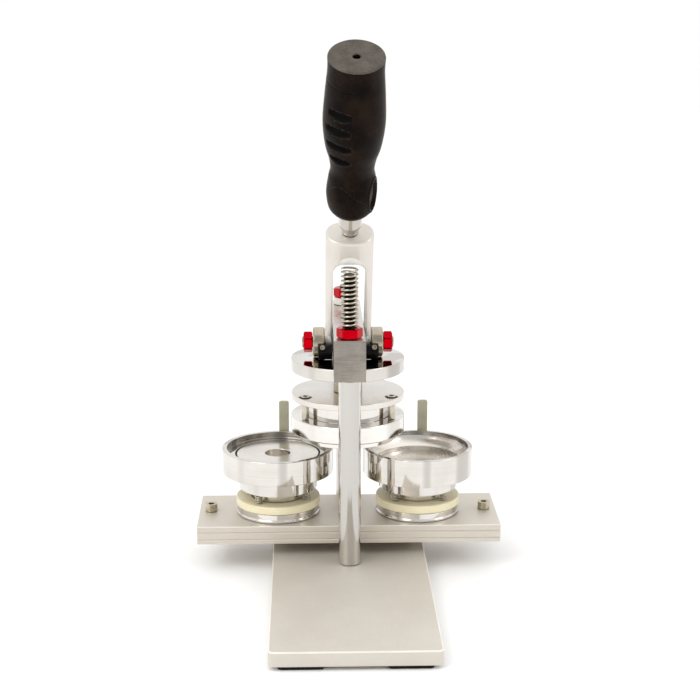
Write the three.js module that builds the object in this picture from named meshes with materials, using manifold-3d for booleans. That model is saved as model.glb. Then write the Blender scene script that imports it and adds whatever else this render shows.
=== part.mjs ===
// Button badge maker: a hand press with a sliding two-station die table.
// Millimetres, +Z up. The origin is on the ground under the middle of the base plate. X runs along
// the die table, -Y points to the person who pulls the lever.
import * as THREE from "three";
import { mergeVertices } from "three/addons/utils/BufferGeometryUtils.js";
import Module from "manifold-3d";

const wasm = await Module();
wasm.setup();

// ---------------------------------------------------------------- driving dimensions
const GAP = 0.3; // clearance between pieces that touch
const FINE = 40; // sides of the large round pieces
const MEDIUM = 24; // sides of shafts, nuts' bores and small discs
const COARSE = 12; // sides of the small screws and springs
const GRIP_SIDES = 32;
const CORNER_STEPS = 8; // pieces of a rounded corner
const THROUGH = 1; // how far a cutting shape stands out of what it cuts
const WELD = 1e-3; // corners closer than this are one

const RAM_Y = 53; // the press axis, behind the middle of the base
const DIE_X = 49; // each lower die, from the middle of the table

const FOOT = { halfX: 14, halfY: 10, corner: 3, height: 2.2, x: 33, y: 126.5 };
const BASE = { length: 276, width: 105, corner: 3.5, z0: 2.5, z1: 12.25 };
const RAIL = { footZ: 16, footHalf: 8, neckHalf: 6, headHalf: 9, z1: 26, sideGap: 0.45 };
const TABLE = { half: 104.25, depth: 33.3, z0: 20.8, z1: 33.5, edge: 0.5 };
const TABLE_GROOVE = { z: [23.9, 28.9], half: 0.6, deep: 0.8 };
const TABLE_TRAVEL = 49;
const STOP = { x: 96, shank: 2.5, head: 4.25, headHeight: 5.2, hang: 6 };

const COLUMN = { radius: 7.5, spigot: 4.5, spigotZ: 4.5, stud: 4 };
const FRONT_COLUMN_Y = RAM_Y - 47.5;
const REAR_COLUMN_Y = RAM_Y + 58;
const BEAM = { half: 10.5, z0: 141.8, z1: 169.6, front: 10.5, rear: 12 };
const COLUMN_NUT = { flats: 15.6, height: 6.4 };
const REAR_SPACER = { radius: 8.6, height: 5 };
const FRONT_STUD_Z = 212;
const REAR_STUD_Z = 184;

const PIVOT_Z = 155.4;
const LEAN = THREE.MathUtils.degToRad(31.76); // the lever leans forward at rest
const AXLE = { radius: 4, half: 31.6 };
const AXLE_NUT = { flats: 13, from: 24.3, to: 30.4 };
const ROLLER = { radius: 10.2, from: 15.9, to: 24 };
const FORK = { half: 15.6, inner: 10.9, depth: 11.5, end: 8, arch: 79.6, top: 99.9, round: 6.5 };
const FORK_ARCH_CORNER = 7.5;
const FORK_STEM_SOCKET_Z = 84.4;
const CAM_ROOM = 1.04; // the arm's depth is widened by this where the cam straddles it
const CAM = { rise: 8, rest: 10.2, sweep: 1.05, steps: 12, from: 10.9, to: 20.5, bore: 8.4, face: 4.1 };
const CAM_FACE_TILT = THREE.MathUtils.degToRad(61); // how far the toe's front face leans from level
const CAM_SCREW = { x: 17.6, up: 0.6, radius: 1.2, head: 1.7, headHeight: 1.4, depth: 5 };
const HANDLE_TILT = THREE.MathUtils.degToRad(0.85); // the handle stands a little askew in its socket
const STEM = { neck: 5.3, bell: 6.2, flare: 7.7, neckTop: 103.3, bellZ: 103.8, flareZ: 107.7, z1: 116.9 };
const TANG = { radius: 4.5, z0: 85.4, z1: 170 };
const GRIP = { foot: 7.6, topFlat: 16.3, z0: 117.2, z1: 236.2, tangRoom: 0.5 };
const GRIP_BOLT = { radius: 2.75, z0: 170.8, z1: 233.2 };
const GRIP_SWELL = [
  [GRIP.foot, GRIP.z0],
  [10.5, 118.4],
  [13, 121],
  [14.9, 125],
  [16, 134.5],
  [14.9, 146],
  [13.8, 153.4],
  [14.9, 162],
  [17.6, 173],
  [19.2, 189.4],
  [18.4, 208],
  [17.1, 226],
  [17.2, GRIP.z1 - 0.8],
]; // radius at each height
const GRIP_STEPS = 16; // rings between two of those heights
const LEVER_SPRING = { outer: 5.8, inner: 4.3, z1: 216.4 };

const PRESS_DISC = { radius: 39.05, z0: 136.5, z1: 144.9 };
const SHANK_RADIUS = 10;
const GUIDE_PIN = { offset: 14, radius: 3, head: 4.2, headZ: 177.3, z1: 181 };
const PIN_SPRING = { outer: 4.1, inner: 3.3, seat: 4.5, z0: 158 };
const UPPER_PLATE = { radius: 39, z0: 116.5, z1: 120.5 };
const PLATE_BOLT = { orbit: 33.9, shank: 2.5, clearance: 2.8, head: 3.2, headHeight: 2.6 };
const PLATE_BOLT_TURN = { left: -5 / 6, right: -1 / 6, rear: 1 / 2 }; // half turns from +X
const PLATE_SINK = { radius: 4.6, depth: 2 };
const PUNCH = { radius: 29.1, z0: 96 };
const UPPER_RING = { radius: 39.3, bore: 29.5, z0: 92.8, z1: 104.8, lip: 34.5, lipZ: 88.8 };
const RING_EDGE = { low: 0.8, high: 0.5 };

const DIE_BASE = { radius: 29.2, z0: 33.8, z1: 39.6 };
const CUSHION = { radius: 29.25, bore: 18.6, z0: 39.9, z1: 45.5 };
const ANVIL_STEM = 18;
const DIE_SPRING = { orbit: 23.8, outer: 2.6, inner: 1.6, z0: 45.8, z1: 51.7, count: 4 };
const SPRING_TURN = { left: THREE.MathUtils.degToRad(57), right: THREE.MathUtils.degToRad(45) };
const SKIRT = { radius: 27.2, bore: 18.4, z0: 52 };
const SHELL_RING = { radius: 38.75, z0: 63.7, z1: 80.5, seat: 35.25, seatZ: 76.2, bore: 29.55 };
const SHELL_ANVIL = { radius: 28.6, z0: 66.5, z1: 76, hole: 8.7, holeZ: 70 };
const CUP_RING = { radius: 38, z0: 61.6, z1: 80.5, mouth: 35, throat: 29.2, throatZ: 71, curve: 3 };
const CUP_ANVIL = { radius: 28.6, z0: 64.6, z1: 68 };
const TAB = { half: 3.6, thick: 2, x: [-45, 55], y: 40, z0: 21, flange: 10, z1: 102, round: 1.5 };

// ---------------------------------------------------------------- materials
const metal = (color, roughness) => new THREE.MeshStandardMaterial({ color, roughness, metalness: 1 });
const dull = (color, roughness) => new THREE.MeshStandardMaterial({ color, roughness, metalness: 0 });
const satinAluminium = metal(0xb9b0a4, 0.45);
const brushedSteel = metal(0x9a958c, 0.38);
const satinSilver = metal(0xd9d6d0, 0.35);
const chrome = metal(0xe6e6e8, 0.08);
const redAnodised = metal(0xb3000c, 0.25);
const springSteel = metal(0x8f8672, 0.3);
const blackOxide = metal(0x0d0d0d, 0.4);
const nylon = dull(0xd9d2a8, 0.5);
const rubber = dull(0x161616, 0.8);
const blackPlastic = dull(0x1d1a18, 0.45);
const oliveSteel = metal(0x8d8f7f, 0.5);

// ---------------------------------------------------------------- geometry helpers
// A profile of [radius, z] points, counter-clockwise round its area, turned about +Z.
function turned(profile, sides) {
  const points = profile.map(([r, z]) => new THREE.Vector2(r, z));
  return new THREE.LatheGeometry(points, sides).rotateX(Math.PI / 2);
}

// A solid of revolution given from its foot to its top; it closes itself on the axis.
function spindle(outline, sides) {
  return turned([[0, outline[0][1]], ...outline, [0, outline.at(-1)[1]]], sides);
}

function disc(radius, z0, z1, sides) {
  return spindle([[radius, z0], [radius, z1]], sides);
}

function tube(inner, outer, z0, z1, sides) {
  return turned([[inner, z0], [outer, z0], [outer, z1], [inner, z1], [inner, z0]], sides);
}

function shapeOf(points) {
  return new THREE.Shape(points.map(([a, b]) => new THREE.Vector2(a, b)));
}

function extruded(shape, depth) {
  return new THREE.ExtrudeGeometry(shape, { depth, bevelEnabled: false, curveSegments: CORNER_STEPS });
}

// A shape drawn in (Y, Z), drawn out along X from x0 to x1.
function alongX(shape, x0, x1) {
  const axes = [[0, 1, 0], [0, 0, 1], [1, 0, 0]].map((axis) => new THREE.Vector3(...axis));
  const turn = new THREE.Matrix4().makeBasis(...axes);
  return extruded(shape, x1 - x0).applyMatrix4(turn).translate(x0, 0, 0);
}

// A shape drawn in (X, Z), drawn out along Y from y0 to y1.
function alongY(shape, y0, y1) {
  return extruded(shape, y1 - y0).rotateX(Math.PI / 2).translate(0, y1, 0);
}

// A shape drawn in (X, Y), drawn out along Z from z0 to z1.
function alongZ(shape, z0, z1) {
  return extruded(shape, z1 - z0).translate(0, 0, z0);
}

function roundedRectangle(halfX, halfY, radius) {
  const shape = new THREE.Shape();
  shape.moveTo(-halfX + radius, -halfY);
  shape.absarc(halfX - radius, -halfY + radius, radius, -Math.PI / 2, 0);
  shape.absarc(halfX - radius, halfY - radius, radius, 0, Math.PI / 2);
  shape.absarc(-halfX + radius, halfY - radius, radius, Math.PI / 2, Math.PI);
  shape.absarc(-halfX + radius, -halfY + radius, radius, Math.PI, Math.PI * 1.5);
  return shape;
}

// A rod along X between x0 and x1.
function rodAlongX(radius, x0, x1, sides) {
  return disc(radius, x0, x1, sides).rotateY(Math.PI / 2);
}

function hexNut(flats, bore, z0, z1) {
  const shape = new THREE.Shape();
  const corner = flats / 2 / Math.cos(Math.PI / 6);
  for (let i = 0; i < 6; i++) {
    const angle = (i * Math.PI) / 3;
    const place = [corner * Math.cos(angle), corner * Math.sin(angle)];
    if (i) shape.lineTo(...place);
    else shape.moveTo(...place);
  }
  shape.holes.push(new THREE.Path().absarc(0, 0, bore, 0, Math.PI * 2));
  return alongZ(shape, z0, z1);
}

// ---------------------------------------------------------------- cutting and joining
function toSolid(geometry) {
  const bare = geometry.clone();
  bare.deleteAttribute("normal");
  bare.deleteAttribute("uv");
  const merged = mergeVertices(bare, WELD);
  const vertProperties = new Float32Array(merged.attributes.position.array);
  const triVerts = new Uint32Array(merged.index.array);
  return new wasm.Manifold(new wasm.Mesh({ numProp: 3, vertProperties, triVerts }));
}

function toGeometry(solid) {
  const mesh = solid.getMesh();
  const geometry = new THREE.BufferGeometry();
  geometry.setAttribute("position", new THREE.BufferAttribute(mesh.vertProperties, 3));
  geometry.setIndex(new THREE.BufferAttribute(mesh.triVerts, 1));
  const faceted = geometry.toNonIndexed();
  faceted.computeVertexNormals();
  return faceted;
}

function cut(body, ...tools) {
  return toGeometry(tools.reduce((rest, tool) => rest.subtract(toSolid(tool)), toSolid(body)));
}

function common(body, other) {
  return toGeometry(toSolid(body).intersect(toSolid(other)));
}

// The left-hand twin of a right-hand piece.
function mirrored(geometry) {
  return toGeometry(toSolid(geometry).mirror([1, 0, 0]));
}

// ---------------------------------------------------------------- the assembly
const press = new THREE.Group();

function add(name, geometry, material, parent = press) {
  const mesh = new THREE.Mesh(geometry, material);
  mesh.name = name;
  parent.add(mesh);
  return mesh;
}

function group(x, y, z) {
  const made = new THREE.Group();
  made.position.set(x, y, z);
  press.add(made);
  return made;
}

// -------------------------------- frame: base, feet, columns, beam, rail
function buildBase() {
  const plate = alongZ(roundedRectangle(BASE.width / 2, BASE.length / 2, BASE.corner), BASE.z0, BASE.z1);
  const bore = disc(COLUMN.spigot + GAP, BASE.z0 - THROUGH, BASE.z1 + THROUGH, MEDIUM);
  const bores = [FRONT_COLUMN_Y, REAR_COLUMN_Y].map((y) => bore.clone().translate(0, y, 0));
  add("base_plate", cut(plate, ...bores), satinAluminium);
  const pad = alongZ(roundedRectangle(FOOT.halfX, FOOT.halfY, FOOT.corner), 0, FOOT.height);
  for (const [side, x] of [["left", -FOOT.x], ["right", FOOT.x]]) {
    for (const [end, y] of [["front", -FOOT.y], ["rear", FOOT.y]]) {
      add(`foot_${end}_${side}`, pad, rubber).position.set(x, y, 0);
    }
  }
}

function buildColumn(name, y, studTop) {
  const outline = [
    [COLUMN.spigot, COLUMN.spigotZ],
    [COLUMN.spigot, BASE.z1 + GAP],
    [COLUMN.radius, BASE.z1 + GAP],
    [COLUMN.radius, BEAM.z0 - GAP],
    [COLUMN.stud, BEAM.z0 - GAP],
    [COLUMN.stud, studTop],
  ];
  add(name, spindle(outline, MEDIUM), chrome).position.set(0, y, 0);
}

function buildColumnNut(name, y, z0) {
  const nut = hexNut(COLUMN_NUT.flats, COLUMN.stud + GAP, z0, z0 + COLUMN_NUT.height).rotateZ(Math.PI / 6);
  add(name, nut, redAnodised).position.set(0, y, 0);
}

// The beam's underside is relieved between its two heads, so that the pressure disc can rise into it.
function buildBeam() {
  const front = FRONT_COLUMN_Y - BEAM.front;
  const rear = REAR_COLUMN_Y + BEAM.rear;
  const relief = PRESS_DISC.radius + 2 * GAP;
  const roof = PRESS_DISC.z1 + GAP;
  const side = shapeOf([
    [front, BEAM.z0],
    [RAM_Y - relief, BEAM.z0],
    [RAM_Y - relief, roof],
    [RAM_Y + relief, roof],
    [RAM_Y + relief, BEAM.z0],
    [rear, BEAM.z0],
    [rear, BEAM.z1],
    [front, BEAM.z1],
  ]);
  const under = BEAM.z0 - THROUGH;
  const upright = (radius, z0, y) => disc(radius, z0, BEAM.z1 + THROUGH, MEDIUM).translate(0, y, 0);
  const axleBore = rodAlongX(AXLE.radius + GAP, -BEAM.half - THROUGH, BEAM.half + THROUGH, MEDIUM);
  const tools = [axleBore.translate(0, RAM_Y, PIVOT_Z)];
  for (const y of [FRONT_COLUMN_Y, REAR_COLUMN_Y]) {
    tools.push(upright(COLUMN.stud + GAP, under, y));
  }
  for (const y of [RAM_Y - GUIDE_PIN.offset, RAM_Y + GUIDE_PIN.offset]) {
    tools.push(upright(GUIDE_PIN.radius + GAP, under, y), upright(PIN_SPRING.seat, PIN_SPRING.z0, y));
  }
  add("top_beam", cut(alongX(side, -BEAM.half, BEAM.half), ...tools), brushedSteel);
}

// The rail ends where the stop screws that hang through the table meet it.
function buildRail() {
  const half = STOP.x - STOP.shank - TABLE_TRAVEL - GAP;
  const rearSide = [
    [RAIL.footHalf, BASE.z1 + GAP],
    [RAIL.footHalf, RAIL.footZ],
    [RAIL.neckHalf, TABLE.z0],
    [RAIL.headHalf, RAIL.z1],
  ];
  const frontSide = rearSide.map(([y, z]) => [-y, z]).reverse();
  const rail = alongX(shapeOf([...rearSide, ...frontSide]), -half, half);
  add("guide_rail", rail, brushedSteel).position.set(0, RAM_Y, 0);
}

function buildFrame() {
  buildBase();
  buildColumn("front_column", FRONT_COLUMN_Y, FRONT_STUD_Z);
  buildColumn("rear_column", REAR_COLUMN_Y, REAR_STUD_Z);
  buildBeam();
  buildRail();
  const spacerTop = BEAM.z1 + GAP + REAR_SPACER.height;
  const spacer = tube(COLUMN.stud + GAP, REAR_SPACER.radius, BEAM.z1 + GAP, spacerTop, MEDIUM);
  add("rear_spacer", spacer, satinSilver).position.set(0, REAR_COLUMN_Y, 0);
  buildColumnNut("front_column_nut", FRONT_COLUMN_Y, BEAM.z1 + GAP);
  buildColumnNut("rear_column_nut", REAR_COLUMN_Y, spacerTop + GAP);
  const springFoot = BEAM.z1 + COLUMN_NUT.height + 2 * GAP;
  const spring = tube(LEVER_SPRING.inner, LEVER_SPRING.outer, springFoot, LEVER_SPRING.z1, COARSE);
  add("lever_spring", spring, springSteel).position.set(0, FRONT_COLUMN_Y, 0);
  for (const [name, offset] of [["front", -GUIDE_PIN.offset], ["rear", GUIDE_PIN.offset]]) {
    const foot = PIN_SPRING.z0 + GAP;
    const sleeve = tube(PIN_SPRING.inner, PIN_SPRING.outer, foot, GUIDE_PIN.headZ - GAP, COARSE);
    add(`ram_spring_${name}`, sleeve, springSteel).position.set(0, RAM_Y + offset, 0);
  }
}

function buildAxle() {
  const axle = group(0, RAM_Y, PIVOT_Z);
  add("lever_axle", rodAlongX(AXLE.radius, -AXLE.half, AXLE.half, MEDIUM), springSteel, axle);
  const nut = hexNut(AXLE_NUT.flats, AXLE.radius + GAP, AXLE_NUT.from, AXLE_NUT.to);
  add("axle_nut_right", nut.clone().rotateY(Math.PI / 2), redAnodised, axle);
  add("axle_nut_left", nut.clone().rotateY(-Math.PI / 2), redAnodised, axle);
}

// -------------------------------- lever: fork, cams, rollers, stem and grip
// Drawn upright about the pivot and then leaned forward as a whole.
function buildFork() {
  const { half, inner, depth, end, arch, top, round } = FORK;
  const block = alongZ(roundedRectangle(half, depth, round), -end, top);
  const side = new THREE.Shape();
  side.moveTo(-depth, top + THROUGH);
  side.lineTo(-depth, end * 2);
  side.lineTo(-end, 0);
  side.absarc(0, 0, end, Math.PI, Math.PI * 2);
  side.lineTo(depth, end * 2);
  side.lineTo(depth, top + THROUGH);
  const corner = FORK_ARCH_CORNER;
  const window = new THREE.Shape();
  window.moveTo(-inner, -end - THROUGH);
  window.lineTo(inner, -end - THROUGH);
  window.absarc(inner - corner, arch - corner, corner, 0, Math.PI / 2);
  window.absarc(-inner + corner, arch - corner, corner, Math.PI / 2, Math.PI);
  const body = common(block, alongX(side, -half - THROUGH, half + THROUGH));
  const pivotBore = rodAlongX(AXLE.radius + GAP, -half - THROUGH, half + THROUGH, MEDIUM);
  const stemBore = askew(disc(TANG.radius + GAP, FORK_STEM_SOCKET_Z, top + THROUGH, MEDIUM));
  return cut(body, alongY(window, -depth - THROUGH, depth + THROUGH), pivotBore, stemBore);
}

// Tilts a piece of the handle sideways about the top of the fork.
function askew(geometry) {
  return geometry.translate(0, 0, -FORK.top).rotateY(HANDLE_TILT).translate(0, 0, FORK.top);
}

// The working edge of a cam whose reach below the pivot grows evenly with the lever's angle.
function camEdge(angle) {
  const reach = CAM.rest + CAM.rise * angle;
  const y = -reach * Math.sin(angle) - CAM.rise * Math.cos(angle);
  const z = -reach * Math.cos(angle) + CAM.rise * Math.sin(angle);
  return [y, z];
}

// A point on the cam's flat front face, a share of the way from the toe to the brow.
function onCamFace(share) {
  const [toeY, toeZ] = camEdge(CAM.sweep);
  const up = share * CAM.face;
  return [toeY + up * Math.cos(CAM_FACE_TILT), toeZ + up * Math.sin(CAM_FACE_TILT)];
}

// Turns a screw that stands along +Z so that it stands out of the cam's front face.
function ontoCamFace(geometry) {
  return geometry.rotateX(CAM_FACE_TILT).translate(CAM_SCREW.x, ...onCamFace(CAM_SCREW.up));
}

function buildCam(forkAtRest) {
  const outline = [];
  for (let i = 0; i <= CAM.steps; i++) {
    outline.push(camEdge((CAM.sweep * i) / CAM.steps));
  }
  outline.push(onCamFace(1), [0, 0]);
  const lobe = alongX(shapeOf(outline), CAM.from, CAM.to);
  const screwHole = disc(CAM_SCREW.radius + GAP, -CAM_SCREW.depth - THROUGH, 2 * THROUGH, COARSE);
  const overArm = rodAlongX(CAM.bore, 0, ROLLER.from - GAP, FINE);
  const overRoller = rodAlongX(ROLLER.radius + GAP, ROLLER.from - 2 * GAP, CAM.to + THROUGH, FINE);
  const arm = forkAtRest.clone().scale(1, CAM_ROOM, 1).translate(0, -GAP, 0);
  const widened = [-GAP, GAP].map((shift) => arm.clone().translate(shift, 0, -GAP));
  return cut(lobe, overArm, overRoller, ontoCamFace(screwHole), ...widened);
}

function buildHandle(lever) {
  const { neck, bell, flare, neckTop, bellZ, flareZ, z1 } = STEM;
  const stem = [
    [TANG.radius, TANG.z0],
    [TANG.radius, FORK.top + 2 * GAP],
    [neck, FORK.top + 2 * GAP],
    [neck, neckTop],
    [bell, bellZ],
    [flare, flareZ],
    [flare, z1],
    [TANG.radius, z1],
    [TANG.radius, TANG.z1],
  ];
  add("handle_stem", askew(spindle(stem, MEDIUM)), chrome, lever);
  const swell = new THREE.SplineCurve(GRIP_SWELL.map(([r, z]) => new THREE.Vector2(r, z)));
  const outside = swell.getPoints(GRIP_STEPS).map((point) => [point.x, point.y]);
  const ledge = TANG.z1 + GRIP.tangRoom;
  const inside = [
    [GRIP.topFlat, GRIP.z1],
    [GRIP_BOLT.radius + GAP, GRIP.z1],
    [GRIP_BOLT.radius + GAP, ledge],
    [TANG.radius + GAP, ledge],
    [TANG.radius + GAP, GRIP.z0],
    [GRIP.foot, GRIP.z0],
  ];
  add("handle_grip", askew(turned([...outside, ...inside], GRIP_SIDES)), blackPlastic, lever);
  const bolt = askew(disc(GRIP_BOLT.radius, GRIP_BOLT.z0, GRIP_BOLT.z1, COARSE));
  add("grip_bolt", bolt, blackOxide, lever);
}

function buildLever() {
  const lever = group(0, RAM_Y, PIVOT_Z);
  const leaning = new THREE.Group();
  leaning.rotation.x = LEAN;
  lever.add(leaning);
  const fork = buildFork();
  add("lever_fork", fork, satinSilver, leaning);
  buildHandle(leaning);
  const roller = tube(AXLE.radius + GAP, ROLLER.radius, ROLLER.from, ROLLER.to, FINE);
  const cam = buildCam(fork.clone().rotateX(LEAN));
  const { radius, head, headHeight, depth } = CAM_SCREW;
  const screwOutline = [[radius, -depth], [radius, GAP], [head, GAP], [head, GAP + headHeight]];
  const screw = ontoCamFace(spindle(screwOutline, COARSE));
  for (const [name, side] of [["left", -1], ["right", 1]]) {
    add(`pivot_roller_${name}`, roller.clone().rotateY((side * Math.PI) / 2), brushedSteel, lever);
    add(`cam_${name}`, side < 0 ? mirrored(cam) : cam, blackOxide, lever);
    add(`cam_screw_${name}`, side < 0 ? mirrored(screw) : screw, brushedSteel, lever);
  }
}

// -------------------------------- ram: pressure disc, shank, guide pins, upper die
// Where the bolts stand that carry the upper ring: a name and an (x, y) for each.
function plateBolts() {
  return Object.entries(PLATE_BOLT_TURN).map(([name, turn]) => {
    const angle = turn * Math.PI;
    return [name, PLATE_BOLT.orbit * Math.cos(angle), PLATE_BOLT.orbit * Math.sin(angle)];
  });
}

function buildRam() {
  const ram = group(0, RAM_Y, 0);
  add("pressure_disc", disc(PRESS_DISC.radius, PRESS_DISC.z0, PRESS_DISC.z1, FINE), chrome, ram);
  const shank = disc(SHANK_RADIUS, UPPER_PLATE.z1 + GAP, PRESS_DISC.z0 - GAP, MEDIUM);
  add("ram_shank", shank, brushedSteel, ram);
  const pin = [
    [GUIDE_PIN.radius, PRESS_DISC.z1 + GAP],
    [GUIDE_PIN.radius, GUIDE_PIN.headZ],
    [GUIDE_PIN.head, GUIDE_PIN.headZ],
    [GUIDE_PIN.head, GUIDE_PIN.z1],
  ];
  for (const [name, offset] of [["front", -GUIDE_PIN.offset], ["rear", GUIDE_PIN.offset]]) {
    add(`guide_pin_${name}`, spindle(pin, MEDIUM), springSteel, ram).position.set(0, offset, 0);
  }
  const holes = [];
  const above = UPPER_PLATE.z1 + THROUGH;
  for (const [, x, y] of plateBolts()) {
    const hole = disc(PLATE_BOLT.clearance, UPPER_PLATE.z0 - THROUGH, above, COARSE);
    const sink = disc(PLATE_SINK.radius, UPPER_PLATE.z1 - PLATE_SINK.depth, above, COARSE);
    holes.push(hole.translate(x, y, 0), sink.translate(x, y, 0));
  }
  const plate = disc(UPPER_PLATE.radius, UPPER_PLATE.z0, UPPER_PLATE.z1, FINE);
  add("upper_die_plate", cut(plate, ...holes), satinSilver, ram);
  add("upper_punch", disc(PUNCH.radius, PUNCH.z0, UPPER_PLATE.z0 - GAP, FINE), chrome, ram);
}

function buildUpperRing() {
  const ring = group(0, RAM_Y, 0);
  const { radius, bore, z0, z1, lip, lipZ } = UPPER_RING;
  const profile = [
    [bore, lipZ],
    [lip, lipZ],
    [lip, z0],
    [radius - RING_EDGE.low, z0],
    [radius, z0 + RING_EDGE.low],
    [radius, z1 - RING_EDGE.high],
    [radius - RING_EDGE.high, z1],
    [bore, z1],
    [bore, lipZ],
  ];
  add("upper_ring", turned(profile, FINE), chrome, ring);
  const { shank, head, headHeight } = PLATE_BOLT;
  const seat = UPPER_PLATE.z1 - PLATE_SINK.depth + GAP;
  const bolt = spindle([[shank, z1 + GAP], [shank, seat], [head, seat], [head, seat + headHeight]], COARSE);
  for (const [name, x, y] of plateBolts()) {
    add(`plate_bolt_${name}`, bolt, springSteel, ring).position.set(x, y, 0);
  }
}

// -------------------------------- sliding table and lower dies
function tableProfile() {
  const { depth, z0, z1, edge } = TABLE;
  const rearWall = [[depth, z0]];
  for (const z of TABLE_GROOVE.z) {
    const { half, deep } = TABLE_GROOVE;
    rearWall.push([depth, z - half], [depth - deep, z], [depth, z + half]);
  }
  rearWall.push([depth, z1 - edge], [depth - edge, z1]);
  const frontWall = rearWall.map(([y, z]) => [-y, z]).reverse();
  const mouth = RAIL.neckHalf + RAIL.sideGap;
  const roof = RAIL.headHalf + RAIL.sideGap;
  const channel = [
    [-mouth, z0],
    [-roof, RAIL.z1 + GAP],
    [roof, RAIL.z1 + GAP],
    [mouth, z0],
  ];
  return shapeOf([...channel, ...rearWall, ...frontWall]);
}

// A flat strip bent twice: a flange on the table's rear face, a short leg, and the upright tab.
function fingerTab() {
  const { half, thick, y, z0, z1, flange, round } = TAB;
  const wall = TABLE.depth + GAP;
  const bend = shapeOf([
    [wall, z0],
    [y + thick, z0],
    [y + thick, z1],
    [y, z1],
    [y, z0 + thick],
    [wall + thick, z0 + thick],
    [wall + thick, z0 + flange],
    [wall, z0 + flange],
  ]);
  const face = new THREE.Shape();
  face.moveTo(-half, z0 - THROUGH);
  face.lineTo(half, z0 - THROUGH);
  face.absarc(half - round, z1 - round, round, 0, Math.PI / 2);
  face.absarc(-half + round, z1 - round, round, Math.PI / 2, Math.PI);
  return common(alongX(bend, -half, half), alongY(face, wall - THROUGH, y + thick + THROUGH));
}

function buildTable() {
  const table = group(0, RAM_Y, 0);
  const hole = disc(STOP.shank + GAP, TABLE.z0 - THROUGH, TABLE.z1 + THROUGH, COARSE);
  const holes = [-STOP.x, STOP.x].map((x) => hole.clone().translate(x, 0, 0));
  const plank = alongX(tableProfile(), -TABLE.half, TABLE.half);
  add("slide_table", cut(plank, ...holes), satinAluminium, table);
  const headZ = TABLE.z1 + GAP;
  const screw = [
    [STOP.shank, TABLE.z0 - STOP.hang],
    [STOP.shank, headZ],
    [STOP.head, headZ],
    [STOP.head, headZ + STOP.headHeight],
  ];
  const tab = fingerTab();
  [["left", -1], ["right", 1]].forEach(([name, side], index) => {
    add(`stop_screw_${name}`, spindle(screw, COARSE), springSteel, table).position.set(side * STOP.x, 0, 0);
    add(`finger_tab_${name}`, tab, oliveSteel, table).position.set(TAB.x[index], 0, 0);
  });
}

function buildDieStack(name, x, springTurn, anvil) {
  const die = group(x, RAM_Y, 0);
  add(`die_base_${name}`, disc(DIE_BASE.radius, DIE_BASE.z0, DIE_BASE.z1, FINE), chrome, die);
  const cushion = tube(CUSHION.bore, CUSHION.radius, CUSHION.z0, CUSHION.z1, FINE);
  add(`cushion_${name}`, cushion, nylon, die);
  add(`anvil_${name}`, anvil, chrome, die);
  const { orbit, outer, inner, z0, z1, count } = DIE_SPRING;
  for (let i = 0; i < count; i++) {
    const angle = springTurn + (i * 2 * Math.PI) / count;
    const spring = add(`die_spring_${name}_${i + 1}`, tube(inner, outer, z0, z1, COARSE), springSteel, die);
    spring.position.set(orbit * Math.cos(angle), orbit * Math.sin(angle), 0);
  }
}

// Left station: a flat seat for the badge shell. Right station: a deep cup for its back.
function buildAnvils() {
  const stemFoot = DIE_BASE.z1 + GAP;
  const shellAnvil = turned(
    [
      [0, stemFoot],
      [ANVIL_STEM, stemFoot],
      [ANVIL_STEM, SHELL_ANVIL.z0],
      [SHELL_ANVIL.radius, SHELL_ANVIL.z0],
      [SHELL_ANVIL.radius, SHELL_ANVIL.z1],
      [SHELL_ANVIL.hole, SHELL_ANVIL.z1],
      [SHELL_ANVIL.hole, SHELL_ANVIL.holeZ],
      [0, SHELL_ANVIL.holeZ],
    ],
    FINE,
  );
  const cupAnvil = spindle(
    [
      [ANVIL_STEM, stemFoot],
      [ANVIL_STEM, CUP_ANVIL.z0],
      [CUP_ANVIL.radius, CUP_ANVIL.z0],
      [CUP_ANVIL.radius, CUP_ANVIL.z1],
    ],
    FINE,
  );
  buildDieStack("left", -DIE_X, SPRING_TURN.left, shellAnvil);
  buildDieStack("right", DIE_X, SPRING_TURN.right, cupAnvil);
}

function buildDieRings() {
  const skirt = [[SKIRT.bore, SKIRT.z0], [SKIRT.radius, SKIRT.z0]];
  const shell = SHELL_RING;
  const shellFloor = SHELL_ANVIL.z0 - GAP;
  const shellProfile = [
    ...skirt,
    [SKIRT.radius, shell.z0],
    [shell.radius, shell.z0],
    [shell.radius, shell.z1],
    [shell.seat, shell.z1],
    [shell.seat, shell.seatZ],
    [shell.bore, shell.seatZ],
    [shell.bore, shellFloor],
    [SKIRT.bore, shellFloor],
    [SKIRT.bore, SKIRT.z0],
  ];
  add("shell_ring", turned(shellProfile, FINE), chrome, group(-DIE_X, RAM_Y, 0));

  const cup = CUP_RING;
  const cupFloor = CUP_ANVIL.z0 - GAP;
  const cupBore = CUP_ANVIL.radius + GAP;
  const cupProfile = [
    ...skirt,
    [SKIRT.radius, cup.z0],
    [cup.radius, cup.z0],
    [cup.radius, cup.z1],
    [cup.mouth, cup.z1],
    [cup.throat + cup.curve, cup.throatZ + cup.curve],
    [cup.throat, cup.throatZ],
    [cupBore, cupFloor],
    [SKIRT.bore, cupFloor],
    [SKIRT.bore, SKIRT.z0],
  ];
  add("cup_ring", turned(cupProfile, FINE), chrome, group(DIE_X, RAM_Y, 0));
}

buildFrame();
buildAxle();
buildLever();
buildRam();
buildUpperRing();
buildTable();
buildAnvils();
buildDieRings();

export default press;
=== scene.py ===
"""The finished look of the button badge maker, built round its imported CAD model.

Lengths in this file are millimetres until a mesh is made; Blender's own units are metres.
"""
import math

import bmesh
import bpy
import numpy as np
from mathutils import Matrix, Vector


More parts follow.
